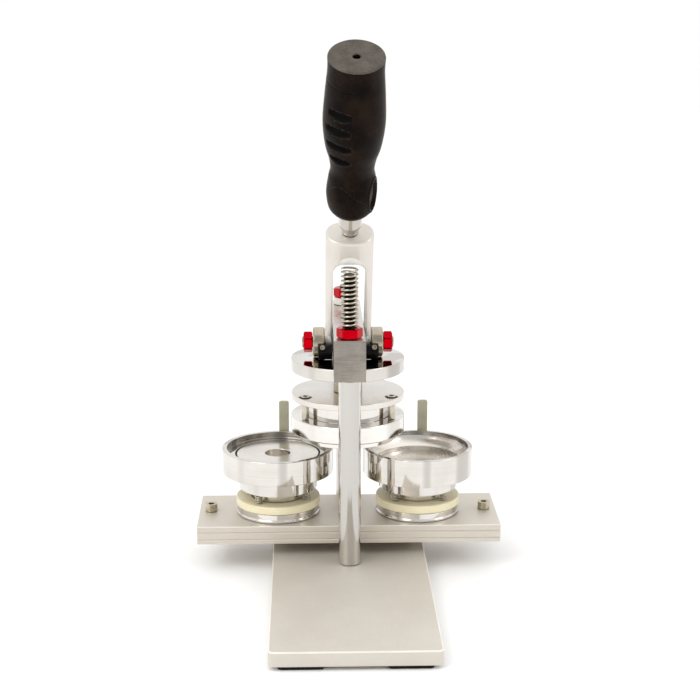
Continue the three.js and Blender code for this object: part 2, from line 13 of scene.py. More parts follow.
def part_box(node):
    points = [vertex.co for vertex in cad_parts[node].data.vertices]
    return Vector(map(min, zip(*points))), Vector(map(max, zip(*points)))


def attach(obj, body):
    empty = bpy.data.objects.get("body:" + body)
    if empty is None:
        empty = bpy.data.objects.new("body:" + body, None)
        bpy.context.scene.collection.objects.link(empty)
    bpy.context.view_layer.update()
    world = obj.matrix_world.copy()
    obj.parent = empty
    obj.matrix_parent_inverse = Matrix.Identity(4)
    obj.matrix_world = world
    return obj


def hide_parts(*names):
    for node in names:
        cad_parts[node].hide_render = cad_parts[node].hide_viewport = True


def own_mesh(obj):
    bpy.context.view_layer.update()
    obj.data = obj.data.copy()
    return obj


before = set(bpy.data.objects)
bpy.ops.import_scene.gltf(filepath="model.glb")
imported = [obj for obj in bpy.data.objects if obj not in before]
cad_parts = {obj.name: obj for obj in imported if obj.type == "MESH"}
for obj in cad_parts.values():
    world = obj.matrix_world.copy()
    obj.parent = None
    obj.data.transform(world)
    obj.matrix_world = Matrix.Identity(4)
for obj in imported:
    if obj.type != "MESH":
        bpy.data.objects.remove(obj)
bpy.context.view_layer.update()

MM = 0.001

# -------------------------------- driving dimensions
GAP = 0.3  # clearance between pieces that touch, as in the CAD
SIDES = 96  # points round a large turned piece
FINE_SIDES = 144  # points round the discs and rings that the eye falls on
BOWL_SIDES = 192
SMALL_SIDES = 48  # points round a screw, nut or pin
FORK_SIDES = 160
GRIP_SIDES = 288
CORE = 0.5  # a solid turned piece is capped by a small flat of this radius on its axis
EDGE = 0.35  # the usual broken edge of a machined piece
THROUGH = 1  # how far a cutting shape stands out of what it cuts
SHARP = math.radians(38)  # edges that turn more than this are shaded sharp

THREAD = {"pitch": 1.25, "depth": 0.62}
FINE_THREAD = {"pitch": 0.8, "depth": 0.42}

PLATE_CORNER = 3.5
FOOT_CORNER = 3.0
SPIGOT = {"radius": 4.5, "bore": 4.8}  # the foot of a column, in the base plate
STUD = 4.0  # radius of the threaded ends of columns and axle
BORE = 4.3  # radius of what slides over them
COLUMN_NUT_FLATS = 15.6
BEAM_RELIEF = {"reach": 39.65, "roof": 145.2}  # cut under the beam for the pressure disc
RAIL_SIDE = [(8.0, 16.0), (6.0, 20.8)]  # half widths and heights of the rail's waist
RAIL_FOOT = 8.0
RAIL_HEAD = 9.0

LEAN = math.radians(31.76)  # the lever leans forward at rest
HANDLE_TILT = math.radians(0.85)  # the stem and grip stand a little askew in the fork
AXLE_THREAD_FROM = 23
AXLE_NUT_FLATS = 13
FORK = {"half": 15.6, "inner": 10.9, "depth": 11.5, "end": 8.0, "arch": 79.6, "top": 99.9, "corner": 7.5}
TANG = {"radius": 4.5, "bore": 4.8, "z0": 85.4, "socket": 84.4, "z1": 170.0, "room": 170.5}
STEM = {"neck": 5.3, "flare": 7.7, "top": 116.9}
STEM_FLARE = [(5.3, 103.2), (5.8, 103.6), (6.2, 104.2), (7.0, 105.9), (7.6, 107.6), (7.7, 108.4)]  # radius, z
GRIP = {"foot": 117.2, "top": 236.2}
GRIP_BOLT = {"foot": 170.8, "top": 233.2, "shank": 1.5, "head": 2.7, "head_height": 4.7}
CAM_FACE_TILT = math.radians(61)
CAM_SCREW = {"length": 6.7, "shank": 1.2, "head": 1.7, "head_height": 1.4}

SHANK_GROOVE = {"z": 127.8, "half": 0.3, "deep": 0.35}
GUIDE_PIN = {"shank": 3.0, "bore": 3.3, "head": 4.2, "head_height": 3.7}
PIN_SPRING_SEAT = {"radius": 4.5, "z": 158}  # the counterbores of the beam
PLATE_BOLTS = ("left", "right", "rear")
PLATE_BOLT = {"shank": 2.5, "bore": 2.8, "head": 3.2, "head_height": 2.6, "sink": 4.6, "sink_depth": 2}
UPPER_RING = {"bore": 29.5, "lip": 34.5, "shoulder": 92.8}

TABLE_GROOVES = (23.9, 28.9)  # heights of the two lines along the table's front and back
TABLE_GROOVE = {"half": 0.6, "deep": 0.6}
TABLE_CHANNEL = {"neck": 6.45, "head": 9.45, "roof": 26.3}  # the dovetail under the table
STOP = {"shank": 2.5, "bore": 2.8, "head": 4.25, "head_height": 5.2}
TAB = {"thick": 2.0, "corner": 1.5, "bend": 1.4, "upturn": 10}
CUSHION_BORE = 18.6
ANVIL_STEM = 18
SKIRT = {"bore": 18.4, "radius": 27.2, "z0": 52.0}  # the lower part of both floating rings
SHELL_RING = {"step": 63.7, "seat": 35.25, "seat_z": 76.2, "bore": 29.55, "floor": 66.2}
SHELL_ANVIL = {"step": 66.5, "hole": 8.7, "hole_z": 70}
CUP_RING = {"step": 61.6, "mouth": 35, "throat": 28.9, "floor": 64.3}
BOWL_CURVE = [(34.7, 78.4), (33.6, 75.6), (31.6, 73), (29.4, 71)]  # radius and height of the cup's bowl
CUP_ANVIL_STEP = 64.6

# outer radius, wire and turns of each kind of spring, and how many turns lie flat at each end
LEVER_COIL = {"outer": 5.8, "wire": 1.45, "turns": 13.5, "dead": 0.5}
PIN_COIL = {"outer": 4.1, "wire": 0.8, "turns": 9, "dead": 0.8}
DIE_COIL = {"outer": 2.6, "wire": 1.0, "turns": 4.2, "dead": 0.5}

HORIZON = 1.0  # brightness of the surroundings low down
CEILING = 1.22
ROOM = 0.6  # behind the camera
CAMERA = {"lens": 81.68, "place": (-27.74, -1008.78, 410.52), "down": 13.81, "turn": -1.58}


def span(node):
    """Lowest and highest corner of a CAD node, in millimetres."""
    low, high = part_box(node)
    return low / MM, high / MM


def centre(node):
    low, high = span(node)
    return (low + high) / 2


PIVOT = centre("lever_axle")
RAM_Y = centre("pressure_disc").y


# -------------------------------- curves and rings of points
def smoothstep(low, high, value):
    t = min(1.0, max(0.0, (value - low) / (high - low)))
    return t * t * (3 - 2 * t)


def circle(radius, z, sides):
    """A level ring round the Z axis."""
    turn = 2 * math.pi / sides
    return [(radius * math.cos(i * turn), radius * math.sin(i * turn), z) for i in range(sides)]


def hexagon(flats, z, sides, soften=0.0):
    """A level hexagonal ring; soften rounds its six corners by that share."""
    ring = []
    corner = flats / 2 / math.cos(math.pi / 6)
    for i in range(sides):
        angle = 2 * math.pi * i / sides
        turned = (angle + math.pi / 6) % (math.pi / 3) - math.pi / 6
        reach = min(flats / 2 / math.cos(turned), corner * (1 - soften))
        around = angle + math.pi / 6
        ring.append((reach * math.cos(around), reach * math.sin(around), z))
    return ring


def rounded_rectangle(half_x, half_y, radius, z, steps=6):
    ring = []
    for sign_x, sign_y, start in ((1, 1, 0), (-1, 1, 90), (-1, -1, 180), (1, -1, 270)):
        for i in range(steps + 1):
            angle = math.radians(start + 90 * i / steps)
            x = sign_x * (half_x - radius) + radius * math.cos(angle)
            y = sign_y * (half_y - radius) + radius * math.sin(angle)
            ring.append((x, y, z))
    return ring


def slab(half_x, half_y, corner, edges):
    """A flat piece with round corners; edges are its (inset, z) pairs, from the bottom up."""
    rings = [rounded_rectangle(half_x - inset, half_y - inset, corner - inset, z) for inset, z in edges]
    return loft(rings)


def oval(half_x, half_y, power, z, sides):
    """A superellipse: power 2 is an ellipse, and a higher power is closer to a rectangle."""
    ring = []
    for i in range(sides):
        angle = 2 * math.pi * i / sides
        c, s = math.cos(angle), math.sin(angle)
        x = math.copysign(abs(c) ** (2 / power), c) * half_x
        y = math.copysign(abs(s) ** (2 / power), s) * half_y
        ring.append((x, y, z))
    return ring


def softened(profile, radius=EDGE, closed=True, steps=3):
    """A profile of (r, z) corners with each corner rounded by up to radius."""
    points = [Vector(p) for p in profile]
    count = len(points)
    made = []
    for i, point in enumerate(points):
        if not closed and i in (0, count - 1):
            made.append(tuple(point))
            continue
        before = points[i - 1] - point
        after = points[(i + 1) % count] - point
        reach_before = min(radius, before.length * 0.45)
        reach_after = min(radius, after.length * 0.45)
        start = point + before.normalized() * reach_before
        end = point + after.normalized() * reach_after
        for step in range(steps + 1):
            t = step / steps
            bend = start * (1 - t) ** 2 + point * 2 * t * (1 - t) + end * t * t
            made.append(tuple(bend))
    return made


def catmull(points, steps):
    """A smooth curve through the points."""
    padded = [points[0], *points, points[-1]]
    made = []
    for i in range(len(points) - 1):
        p0, p1, p2, p3 = (np.array(p, float) for p in padded[i : i + 4])
        for step in range(steps):
            t = step / steps
            a = 2 * p1 + (p2 - p0) * t
            b = (2 * p0 - 5 * p1 + 4 * p2 - p3) * t * t
            c = (3 * p1 - p0 - 3 * p2 + p3) * t * t * t
            made.append(tuple((a + b + c) / 2))
    made.append(tuple(points[-1]))
    return made


def thread_rings(radius, z0, z1, pitch, depth, sides, steps=8):
    """Rings of a threaded rod between two heights."""
    count = max(2, round((z1 - z0) / pitch * steps))
    rings = []
    for row in range(count + 1):
        z = z0 + (z1 - z0) * row / count
        fade = min(1, (z - z0) / pitch, (z1 - z) / pitch)
        ring = []
        for i in range(sides):
            phase = (z / pitch - i / sides) % 1
            groove = 1 - abs(2 * phase - 1)
            reach = radius - depth * groove * fade
            angle = 2 * math.pi * i / sides
            ring.append((reach * math.cos(angle), reach * math.sin(angle), z))
        rings.append(ring)
    return rings


# -------------------------------- meshes
def loft(rings, closed=False):
    """Vertices and faces of a skin over rings of equal count; open ends are capped."""
    count = len(rings[0])
    vertices = [point for ring in rings for point in ring]
    faces = []
    last = len(rings) if closed else len(rings) - 1
    for row in range(last):
        low = row * count
        high = (row + 1) % len(rings) * count
        for i in range(count):
            j = (i + 1) % count
            faces.append((low + i, low + j, high + j, high + i))
    if not closed:
        faces.append(tuple(range(count)))
        top = (len(rings) - 1) * count
        faces.append(tuple(range(top, top + count)))
    return vertices, faces


def lathe(profile, sides=SIDES, closed=True):
    return loft([circle(r, z, sides) for r, z in profile], closed)


def upright(radius, z0, z1, x=0.0, y=0.0):
    """An upright round bar, for cutting a hole."""
    rings = []
    for z in (z0, z1):
        rings.append([(px + x, py + y, z) for px, py, _ in circle(radius, z, SMALL_SIDES)])
    return loft(rings)


def bar_along_x(outline, x0, x1):
    """A bar along X with an outline of (y, z) points."""
    return loft([[(x, y, z) for y, z in outline] for x in (x0, x1)])


def to_mesh(name, shape):
    vertices, faces = shape
    mesh = bpy.data.meshes.new(name)
    mesh.from_pydata([Vector(v) * MM for v in vertices], [], faces)
    build = bmesh.new()
    build.from_mesh(mesh)
    bmesh.ops.remove_doubles(build, verts=build.verts, dist=1e-7)
    bmesh.ops.dissolve_degenerate(build, edges=build.edges, dist=1e-7)
    bmesh.ops.recalc_face_normals(build, faces=build.faces)
    build.to_mesh(mesh)
    build.free()
    return mesh


def new_object(name, shape, place=Matrix.Identity(4)):
    made = bpy.data.objects.new(name, to_mesh(name, shape))
    bpy.context.scene.collection.objects.link(made)
    made.matrix_world = place
    return made


def at(x=0.0, y=0.0, z=0.0, turn=Matrix.Identity(4)):
    return Matrix.Translation(Vector((x, y, z)) * MM) @ turn


def stand(node):
    """The place on the ground under the middle of a CAD node."""
    mid = centre(node)
    return at(mid.x, mid.y)


def bake(obj):
    """Applies an object's modifiers to its mesh."""
    bpy.context.view_layer.update()
    graph = bpy.context.evaluated_depsgraph_get()
    mesh = bpy.data.meshes.new_from_object(obj.evaluated_get(graph))
    obj.modifiers.clear()
    obj.data = mesh


def cut(obj, *shapes):
    """Cuts shapes, given in the object's own frame, out of an object."""
    for shape in shapes:
        tool = new_object(obj.name + "_tool", shape, obj.matrix_world.copy())
        modifier = obj.modifiers.new("cut", "BOOLEAN")
        modifier.operation = "DIFFERENCE"
        modifier.solver = "EXACT"
        modifier.object = tool
        bake(obj)
        bpy.data.objects.remove(tool)


def bevel(obj, width, segments=2, angle=SHARP):
    modifier = obj.modifiers.new("bevel", "BEVEL")
    modifier.width = width * MM
    modifier.segments = segments
    modifier.limit_method = "ANGLE"
    modifier.angle_limit = angle
    modifier.harden_normals = False
    bake(obj)


def shade(obj):
    """Smooth shading that keeps flat faces flat and sharp edges sharp."""
    mesh = obj.data
    mesh.polygons.foreach_set("use_smooth", [True] * len(mesh.polygons))
    mesh.set_sharp_from_angle(angle=SHARP)
    weighted = obj.modifiers.new("weighted", "WEIGHTED_NORMAL")
    weighted.keep_sharp = True


def finish_piece(obj, look, body, node):
    """Makes an object the visible form of one CAD node, riding on its body."""
    obj.data.materials.clear()
    obj.data.materials.append(look.material)
    shade(obj)
    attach(obj, body)
    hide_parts(node)
    return obj


def piece(node, shape, look, body, place):
    return finish_piece(new_object("look_" + node, shape, place), look, body, node)


def paint(obj, look, chosen):
    """Gives a second material to the faces that are chosen."""
    obj.data.materials.append(look.material)
    index = len(obj.data.materials) - 1
    for face in obj.data.polygons:
        if chosen(face):
            face.material_index = index


def on_top_edge(face, top):
    """Whether a face lies on the broken edge round the top of a plate, top being its height."""
    return face.center.z > (top - 0.5) * MM and 0.15 < face.normal.z < 0.97


def faces_axis(face):
    """Whether a face of a turned piece looks in towards its axis."""
    flat = Vector((face.center.x, face.center.y, 0))
    return face.normal.dot(flat.normalized()) < -0.25


def turned_size(node):
    """Foot, top and radius of a CAD node that is turned about a vertical axis."""
    low, high = span(node)
    return low.z, high.z, (high.x - low.x) / 2


def turned_ring(node, profile, look, body, edge=EDGE, sides=SIDES):
    """A turned ring in its CAD node's place."""
    return piece(node, lathe(softened(profile, edge), sides), look, body, stand(node))


def solid_of(outside, edge, sides):
    """A turned solid with flat ends; outside runs up from the edge of the lower end."""
    profile = [(CORE, outside[0][1]), *outside, (CORE, outside[-1][1])]
    return lathe(softened(profile, edge, closed=False), sides, closed=False)


def turned_solid(node, outside, look, body, edge=EDGE, sides=FINE_SIDES):
    """A turned solid in its CAD node's place."""
    return piece(node, solid_of(outside, edge, sides), look, body, stand(node))


# -------------------------------- materials
class Nodes:
    """Short ways to add shader nodes to a tree."""

    def __init__(self, tree):
        self.tree = tree

    def add(self, kind, inputs=(), **settings):
        """A node with its settings, and its inputs as values or as other nodes' sockets."""
        made = self.tree.nodes.new(kind)
        for name, value in settings.items():
            setattr(made, name, value)
        self.feed(made, inputs)
        return made

    def feed(self, node, inputs):
        for socket, value in dict(inputs).items():
            if isinstance(value, bpy.types.NodeSocket):
                self.tree.links.new(value, node.inputs[socket])
            else:
                node.inputs[socket].default_value = value

    def maths(self, operation, *values):
        return self.add("ShaderNodeMath", enumerate(values), operation=operation).outputs[0]

    def vector_maths(self, operation, *values):
        return self.add("ShaderNodeVectorMath", enumerate(values), operation=operation).outputs

    def noise(self, place, scale, detail, roughness):
        inputs = {"Vector": place, "Scale": scale, "Detail": detail, "Roughness": roughness}
        return self.add("ShaderNodeTexNoise", inputs).outputs["Fac"]

    def ramp(self, value, low, high):
        inputs = {"Value": value, "From Min": low, "From Max": high}
        return self.add("ShaderNodeMapRange", inputs, interpolation_type="SMOOTHSTEP").outputs["Result"]

    def remap(self, value, limits):
        low, high = limits
        inputs = {"Value": value, "From Min": 0.35, "From Max": 0.65, "To Min": low, "To Max": high}
        return self.add("ShaderNodeMapRange", inputs).outputs["Result"]

    def mix_colours(self, factor, first, second):
        return self.add("ShaderNodeMix", {0: factor, 6: first, 7: second}, data_type="RGBA").outputs[2]

    def mix_values(self, factor, first, second):
        return self.add("ShaderNodeMix", {0: factor, 2: first, 3: second}).outputs[0]

    def grain_place(self, place, grain, stretch):
        """Coordinates that draw the fine noise out into the marks of a tool."""
        if grain == "even":
            return place
        if grain != "turned":
            scale = [1 / stretch if axis == grain else 1 for axis in "xyz"]
            return self.vector_maths("MULTIPLY", place, scale)["Vector"]
        flat = self.vector_maths("MULTIPLY", place, (1, 1, 0))["Vector"]
        radius = self.vector_maths("LENGTH", flat)["Value"]
        height = self.add("ShaderNodeSeparateXYZ", {"Vector": place}).outputs["Z"]
        return self.add("ShaderNodeCombineXYZ", {"X": radius, "Y": height}).outputs["Vector"]


def rgb(red, green, blue):
    """A colour given as it is seen, on the usual scale to 255."""
    def linear(value):
        value /= 255
        return value / 12.92 if value <= 0.04045 else ((value + 0.055) / 1.055) ** 2.4
    return (linear(red), linear(green), linear(blue), 1)


class Look:
    """A procedural material, and the record's slot that it belongs to."""

    # rough is the range of roughness, grain the direction of the tool marks and scale their
    # fineness, patch the size of the cloudier changes, wear the colour of rubbed edges, and
    # streak how much darker the broad upright bands are.
    def __init__(self, slot, dark, light, rough, metallic=1.0, grain="even", scale=2500.0,
                 bump=0.1, patch=45.0, wear=None, name=None, stretch=40.0, streak=0.0, **sockets):
        self.slot = slot
        self.material = bpy.data.materials.new(name or slot + "_finish")
        self.material.use_nodes = True
        tree = self.material.node_tree
        nodes = Nodes(tree)
        place = nodes.add("ShaderNodeTexCoord").outputs["Object"]
        fine = nodes.noise(nodes.grain_place(place, grain, stretch), scale, 5.0, 0.6)
        broad = nodes.noise(place, patch, 4.0, 0.55)
        speck = nodes.noise(place, patch * 9, 3.0, 0.5)
        mixed = nodes.maths("MULTIPLY_ADD", fine, 0.45, nodes.maths("MULTIPLY", broad, 0.55))
        colour = nodes.mix_colours(nodes.ramp(mixed, 0.36, 0.64), dark, light)
        if streak:
            upright_bands = nodes.noise(nodes.grain_place(place, "z", 1000.0), 48.0, 1.0, 0.4)
            shaded = [(1 - streak) * value for value in dark[:3]] + [1]
            colour = nodes.mix_colours(nodes.ramp(upright_bands, 0.5, 0.6), colour, shaded)
        if wear:
            edges = nodes.ramp(nodes.add("ShaderNodeNewGeometry").outputs["Pointiness"], 0.515, 0.56)
            rubbed = nodes.maths("MULTIPLY", edges, nodes.ramp(speck, 0.38, 0.62))
            colour = nodes.mix_colours(rubbed, colour, wear)
        smudge = nodes.maths("MULTIPLY_ADD", speck, 0.35, nodes.maths("MULTIPLY", mixed, 0.65))
        relief = nodes.add("ShaderNodeBump", {"Strength": bump, "Distance": 0.05 * MM, "Height": fine})
        inputs = {socket.replace("_", " "): value for socket, value in sockets.items()}
        inputs |= {"Metallic": metallic, "Base Color": colour, "Roughness": nodes.remap(smudge, rough),
                   "Normal": relief.outputs["Normal"]}
        nodes.feed(tree.nodes["Principled BSDF"], inputs)


ANODISED = Look("satin_aluminium", rgb(206, 198, 186), rgb(214, 207, 196), (0.40, 0.48), 0.5,
    grain="x", scale=5000, bump=0.08, patch=22)
ANODISED_PLATE = Look("satin_aluminium", rgb(206, 199, 188), rgb(214, 208, 197), (0.44, 0.52), 0.35,
    grain="y", scale=5000, bump=0.08, patch=22, name="plate_finish")
# A near-white copy of the anodised aluminium for the broken top edges of plate and table: a painted
# highlight.
PAINTED_EDGE_HIGHLIGHT = Look("satin_aluminium", rgb(240, 234, 225), rgb(250, 246, 240), (0.30, 0.38), 0.4,
    scale=5000, bump=0.05, patch=60, name="painted_edge_highlight")
BRUSHED = Look("brushed_steel", rgb(126, 121, 114), rgb(158, 152, 144), (0.28, 0.42),
    grain="x", scale=4500, bump=0.25, patch=60, stretch=60)
# A much lighter copy of the beam's brushed steel for its top faces: painted light from above, with the front
# and sides left darker.
BEAM_TOP_PAINTED_LIGHT = Look("brushed_steel", rgb(206, 201, 194), rgb(222, 218, 212), (0.24, 0.34),
    grain="y", scale=4500, bump=0.1, patch=60, stretch=60, name="beam_top")
TURNED_STEEL = Look("brushed_steel", rgb(166, 156, 138), rgb(190, 181, 163), (0.16, 0.24),
    grain="turned", scale=3000, bump=0.1, patch=60, name="turned_steel")
SATIN = Look("satin_silver", rgb(212, 206, 198), rgb(221, 216, 208), (0.34, 0.42), 0.5,
    scale=6000, bump=0.02, patch=30)
# A near-white copy of the fork's satin for the slanted band round its window: a painted highlight.
CHAMFER_HIGHLIGHT = Look("satin_silver", rgb(242, 239, 234), rgb(248, 246, 242), (0.34, 0.42), 0.25,
    scale=6000, bump=0.02, patch=30, name="fork_chamfer_painted_highlight")
SATIN_PLATE = Look("satin_silver", rgb(216, 210, 203), rgb(226, 221, 215), (0.20, 0.26),
    grain="x", scale=3500, bump=0.02, patch=40, stretch=80, name="plate_satin")
CHROME = Look("chrome", rgb(211, 206, 199), rgb(225, 222, 217), (0.03, 0.08),
    grain="turned", scale=2600, bump=0.04, patch=50, streak=0.2)
POLISHED = Look("chrome", rgb(216, 212, 207), rgb(229, 226, 222), (0.08, 0.15),
    grain="z", scale=2600, bump=0.10, patch=50, name="polished_column", streak=0.2)
DISC_WALL = Look("chrome", rgb(200, 195, 188), rgb(216, 212, 206), (0.16, 0.22),
    grain="turned", scale=2200, bump=0.05, patch=30, name="disc_wall", streak=0.22)
UPPER_CHROME = Look("chrome", rgb(224, 220, 214), rgb(237, 234, 229), (0.04, 0.09),
    grain="turned", scale=2400, bump=0.04, patch=50, name="upper_chrome", streak=0.1)
# A rougher bored finish, also darkened well below the chrome: painted shade on the inner walls of the lower
# rings.
BORE_SHADE = Look("chrome", rgb(150, 145, 138), rgb(184, 180, 174), (0.14, 0.24),
    grain="turned", scale=2200, bump=0.1, patch=50, name="bored_wall_painted_shade", streak=0.25)
BOWL = Look("chrome", rgb(222, 216, 208), rgb(234, 229, 222), (0.20, 0.30),
    grain="turned", scale=2200, bump=0.08, patch=40, name="bowl_face")
ANVIL = Look("chrome", rgb(220, 214, 206), rgb(232, 227, 220), (0.16, 0.24),
    grain="turned", scale=2400, bump=0.12, patch=50, name="anvil_face")
RED = Look("red_anodised", rgb(168, 0, 14), rgb(188, 2, 20), (0.10, 0.16),
    scale=3000, bump=0.02, patch=60)
SPRING = Look("spring_steel", rgb(112, 101, 80), rgb(158, 146, 122), (0.14, 0.22),
    scale=5000, bump=0.05, patch=160)
BRIGHT_SPRING = Look("spring_steel", rgb(176, 168, 152), rgb(204, 197, 182), (0.12, 0.2),
    scale=5000, bump=0.05, patch=160, name="bright_spring")
# A near-black metal for the studs above the beam: painted shade in their threads and inside the lever spring.
STUD_SHADE = Look("chrome", rgb(40, 36, 32), rgb(62, 56, 50), (0.3, 0.45),
    scale=3000, bump=0.2, patch=120, name="stud_painted_shade")
STOP_STEEL = Look("spring_steel", rgb(178, 168, 146), rgb(204, 195, 174), (0.2, 0.32),
    scale=4000, bump=0.1, patch=200, name="stop_steel")
BLACK = Look("black_oxide", rgb(5, 5, 5), rgb(11, 10, 10), (0.34, 0.46), 0.0,
    grain="x", scale=3500, bump=0.15, patch=120, Specular_IOR_Level=0.15)
NYLON = Look("nylon", rgb(236, 225, 186), rgb(245, 237, 207), (0.38, 0.5), 0.0,
    grain="turned", scale=2400, bump=0.2, patch=70, Subsurface_Weight=0.2, Subsurface_Scale=0.002)
RUBBER = Look("rubber", rgb(10, 10, 10), rgb(20, 19, 18), (0.6, 0.8), 0.0,
    scale=2500, bump=0.5, patch=120, Specular_IOR_Level=0.2)
PLASTIC = Look("grip_plastic", rgb(4, 1, 1), rgb(34, 23, 15), (0.34, 0.48), 0.0,
    scale=1500, bump=0.35, patch=60, wear=rgb(58, 48, 39), Specular_IOR_Level=0.05,
    Sheen_Weight=1.0, Sheen_Roughness=0.16, Sheen_Tint=rgb(232, 212, 188))
# A grey copy of the grip's plastic for its top face: a painted sheen from the bright ceiling.
GRIP_TOP_PAINTED_SHEEN = Look("grip_plastic", rgb(64, 57, 49), rgb(90, 82, 72), (0.4, 0.5), 0.0,
    scale=900, bump=0.2, patch=110, name="grip_top_painted_sheen", Specular_IOR_Level=0.3)
# A near-black copy of the grip's plastic for the finger grooves: painted shade under their lips.
GROOVE_SHADE = Look("grip_plastic", rgb(4, 3, 3), rgb(10, 8, 7), (0.5, 0.6), 0.0,
    scale=1500, bump=0.2, patch=70, name="groove_painted_shade", Specular_IOR_Level=0.05)
OLIVE = Look("strip_steel", rgb(184, 181, 158), rgb(200, 196, 174), (0.34, 0.46), 0.55,
    grain="z", scale=4000, bump=0.1, patch=60)


# -------------------------------- turned, threaded and socketed parts
def nut(node, flats, bore, thick, look, body, place):
    """A hexagon nut whose corners are chamfered top and bottom, its axis along the place's own Z."""
    rim = flats / 2 * 0.97
    slope = math.tan(math.radians(28))
    outline = hexagon(flats, 0, SIDES, 0.03)

    def crown(z, sign):
        ring = []
        for x, y, _ in outline:
            reach = math.hypot(x, y)
            ring.append((x, y, z - sign * max(0.0, reach - rim) * slope - sign * 0.12))
        return ring

    rings = [
        circle(bore + 0.5, 0, SIDES),
        circle(rim, 0, SIDES),
        crown(0, -1),
        crown(thick, 1),
        circle(rim, thick, SIDES),
        circle(bore + 0.5, thick, SIDES),
        circle(bore, thick - 0.5, SIDES),
        circle(bore, 0.5, SIDES),
    ]
    return piece(node, loft(rings, closed=True), look, body, place)


def screw_outside(foot, top, size, point=(0.3, 0.3)):
    """The outside of a screw from its foot, which is pointed by (in, up), to the edge of its head."""
    shank, head = size["shank"], size["head"]
    seat = top - size["head_height"]
    return [(shank - point[0], foot), (shank, foot + point[1]), (shank, seat), (head, seat), (head, top)]


def socket_screw(node, profile, head, socket, socket_depth, look, body, place, thread=None):
    """A screw with a hexagon socket; profile runs up its outside to the edge of the head's top."""
    rings = []
    outside = softened(profile, 0.3, closed=False)
    if thread:
        radius, z0, z1 = thread
        rings.append(circle(radius - FINE_THREAD["depth"], z0, SMALL_SIDES))
        rings += thread_rings(radius, z0 + 0.3, z1, **FINE_THREAD, sides=SMALL_SIDES)
    rings += [circle(r, z, SMALL_SIDES) for r, z in outside]
    rings.append(circle(socket * 0.62, head, SMALL_SIDES))
    rings.append(hexagon(socket, head - 0.2, SMALL_SIDES))
    rings.append(hexagon(socket, head - socket_depth, SMALL_SIDES))
    return piece(node, loft(rings), look, body, place)


def standing_screw(node, size, socket, socket_depth, look, body, point=(0.3, 0.3)):
    """A plain screw standing in its CAD node's place."""
    low, high = span(node)
    profile = screw_outside(low.z, high.z, size, point)
    socket_screw(node, profile, high.z, socket, socket_depth, look, body, stand(node))


def coil(node, size, body, look):
    """A helical spring with flattened end turns, standing in its CAD node's place."""
    wire, turns, dead = size["wire"], size["turns"], size["dead"]
    low, high = span(node)
    radius = size["outer"] - wire / 2
    steps_per_turn = 40
    around = 12
    count = round(turns * steps_per_turn)
    live = turns - 2 * dead
    climb = high.z - low.z - wire * (1 + 2 * dead)
    rings = []
    for i in range(count + 1):
        turn = i / steps_per_turn
        first = min(turn, dead)
        middle = min(max(turn - dead, 0), live)
        last = max(turn - dead - live, 0)
        z = low.z + wire / 2 + (first + last) * wire + middle / live * climb
        angle = 2 * math.pi * turn
        ring = []
        for k in range(around):
            lean = 2 * math.pi * k / around
            reach = radius + wire / 2 * math.cos(lean)
            ring.append((reach * math.cos(angle), reach * math.sin(angle), z + wire / 2 * math.sin(lean)))
        rings.append(ring)
    return piece(node, loft(rings), look, body, stand(node))


# -------------------------------- base, feet, columns, beam, rail
def build_base_plate():
    low, high = span("base_plate")
    edges = [(0.8, low.z), (0.25, low.z + 0.2), (0, low.z + 0.8), (0, high.z - 0.8), (0.25, high.z - 0.2),
             (0.8, high.z)]
    plate = new_object("look_base_plate", slab(high.x, high.y, PLATE_CORNER, edges), at())
    for node in ("front_column", "rear_column"):
        cut(plate, upright(SPIGOT["bore"], low.z - THROUGH, high.z + THROUGH, y=centre(node).y))
    finish_piece(plate, ANODISED_PLATE, "frame", "base_plate")
    # The broken top edge of the plate is painted near white: a painted highlight.
    paint(plate, PAINTED_EDGE_HIGHLIGHT, lambda face: on_top_edge(face, high.z))


def build_feet():
    for side in ("left", "right"):
        for end in ("front", "rear"):
            node = f"foot_{end}_{side}"
            low, high = span(node)
            half = (high - low) / 2
            edges = [(0.7, low.z), (0.1, low.z + 0.5), (0, low.z + 1), (0, high.z - 0.3), (0.3, high.z)]
            shape = slab(half.x, half.y, FOOT_CORNER, edges)
            piece(node, shape, RUBBER, "frame", stand(node))


def build_column(node, shoulder, neck, beam_top):
    """A column that stands on the base at shoulder, carries the beam at neck, and ends in a stud."""
    low, high = span(node)
    radius = high.x
    rings = [hexagon(5, low.z + 4, SIDES), hexagon(5, low.z + 0.3, SIDES), circle(3.2, low.z, SIDES)]
    outside = [(SPIGOT["radius"] - 0.4, low.z), (SPIGOT["radius"], low.z + 0.6), (SPIGOT["radius"], shoulder),
               (radius - 0.5, shoulder), (radius, shoulder + 0.5), (radius, neck - 0.6),
               (radius - 0.6, neck), (STUD, neck), (STUD, neck + 4)]
    rings += [circle(r, z, SIDES) for r, z in softened(outside, 0.25, closed=False)]
    rings += thread_rings(STUD, beam_top - 1, high.z - 0.8, **THREAD, sides=SIDES)
    rings += [circle(3.4, high.z - 0.1, SIDES), circle(3.2, high.z, SIDES)]
    column = piece(node, loft(rings), POLISHED, "frame", stand(node))
    # The stud above the beam is painted near black: painted shade in its threads, and inside the lever spring
    # on the front column.
    paint(column, STUD_SHADE, lambda face: face.center.z > beam_top * MM)


def build_columns():
    shoulder = span("base_plate")[1].z + GAP
    beam_low, beam_high = span("top_beam")
    for node in ("front_column", "rear_column"):
        build_column(node, shoulder, beam_low.z - GAP, beam_high.z)
        low, high = span(node + "_nut")
        place = at(0, centre(node).y, low.z)
        nut(node + "_nut", COLUMN_NUT_FLATS, BORE, high.z - low.z, RED, "frame", place)
    foot, top, radius = turned_size("rear_spacer")
    profile = [(BORE, foot), (radius, foot), (radius, top), (BORE, top)]
    turned_ring("rear_spacer", profile, SATIN, "frame")


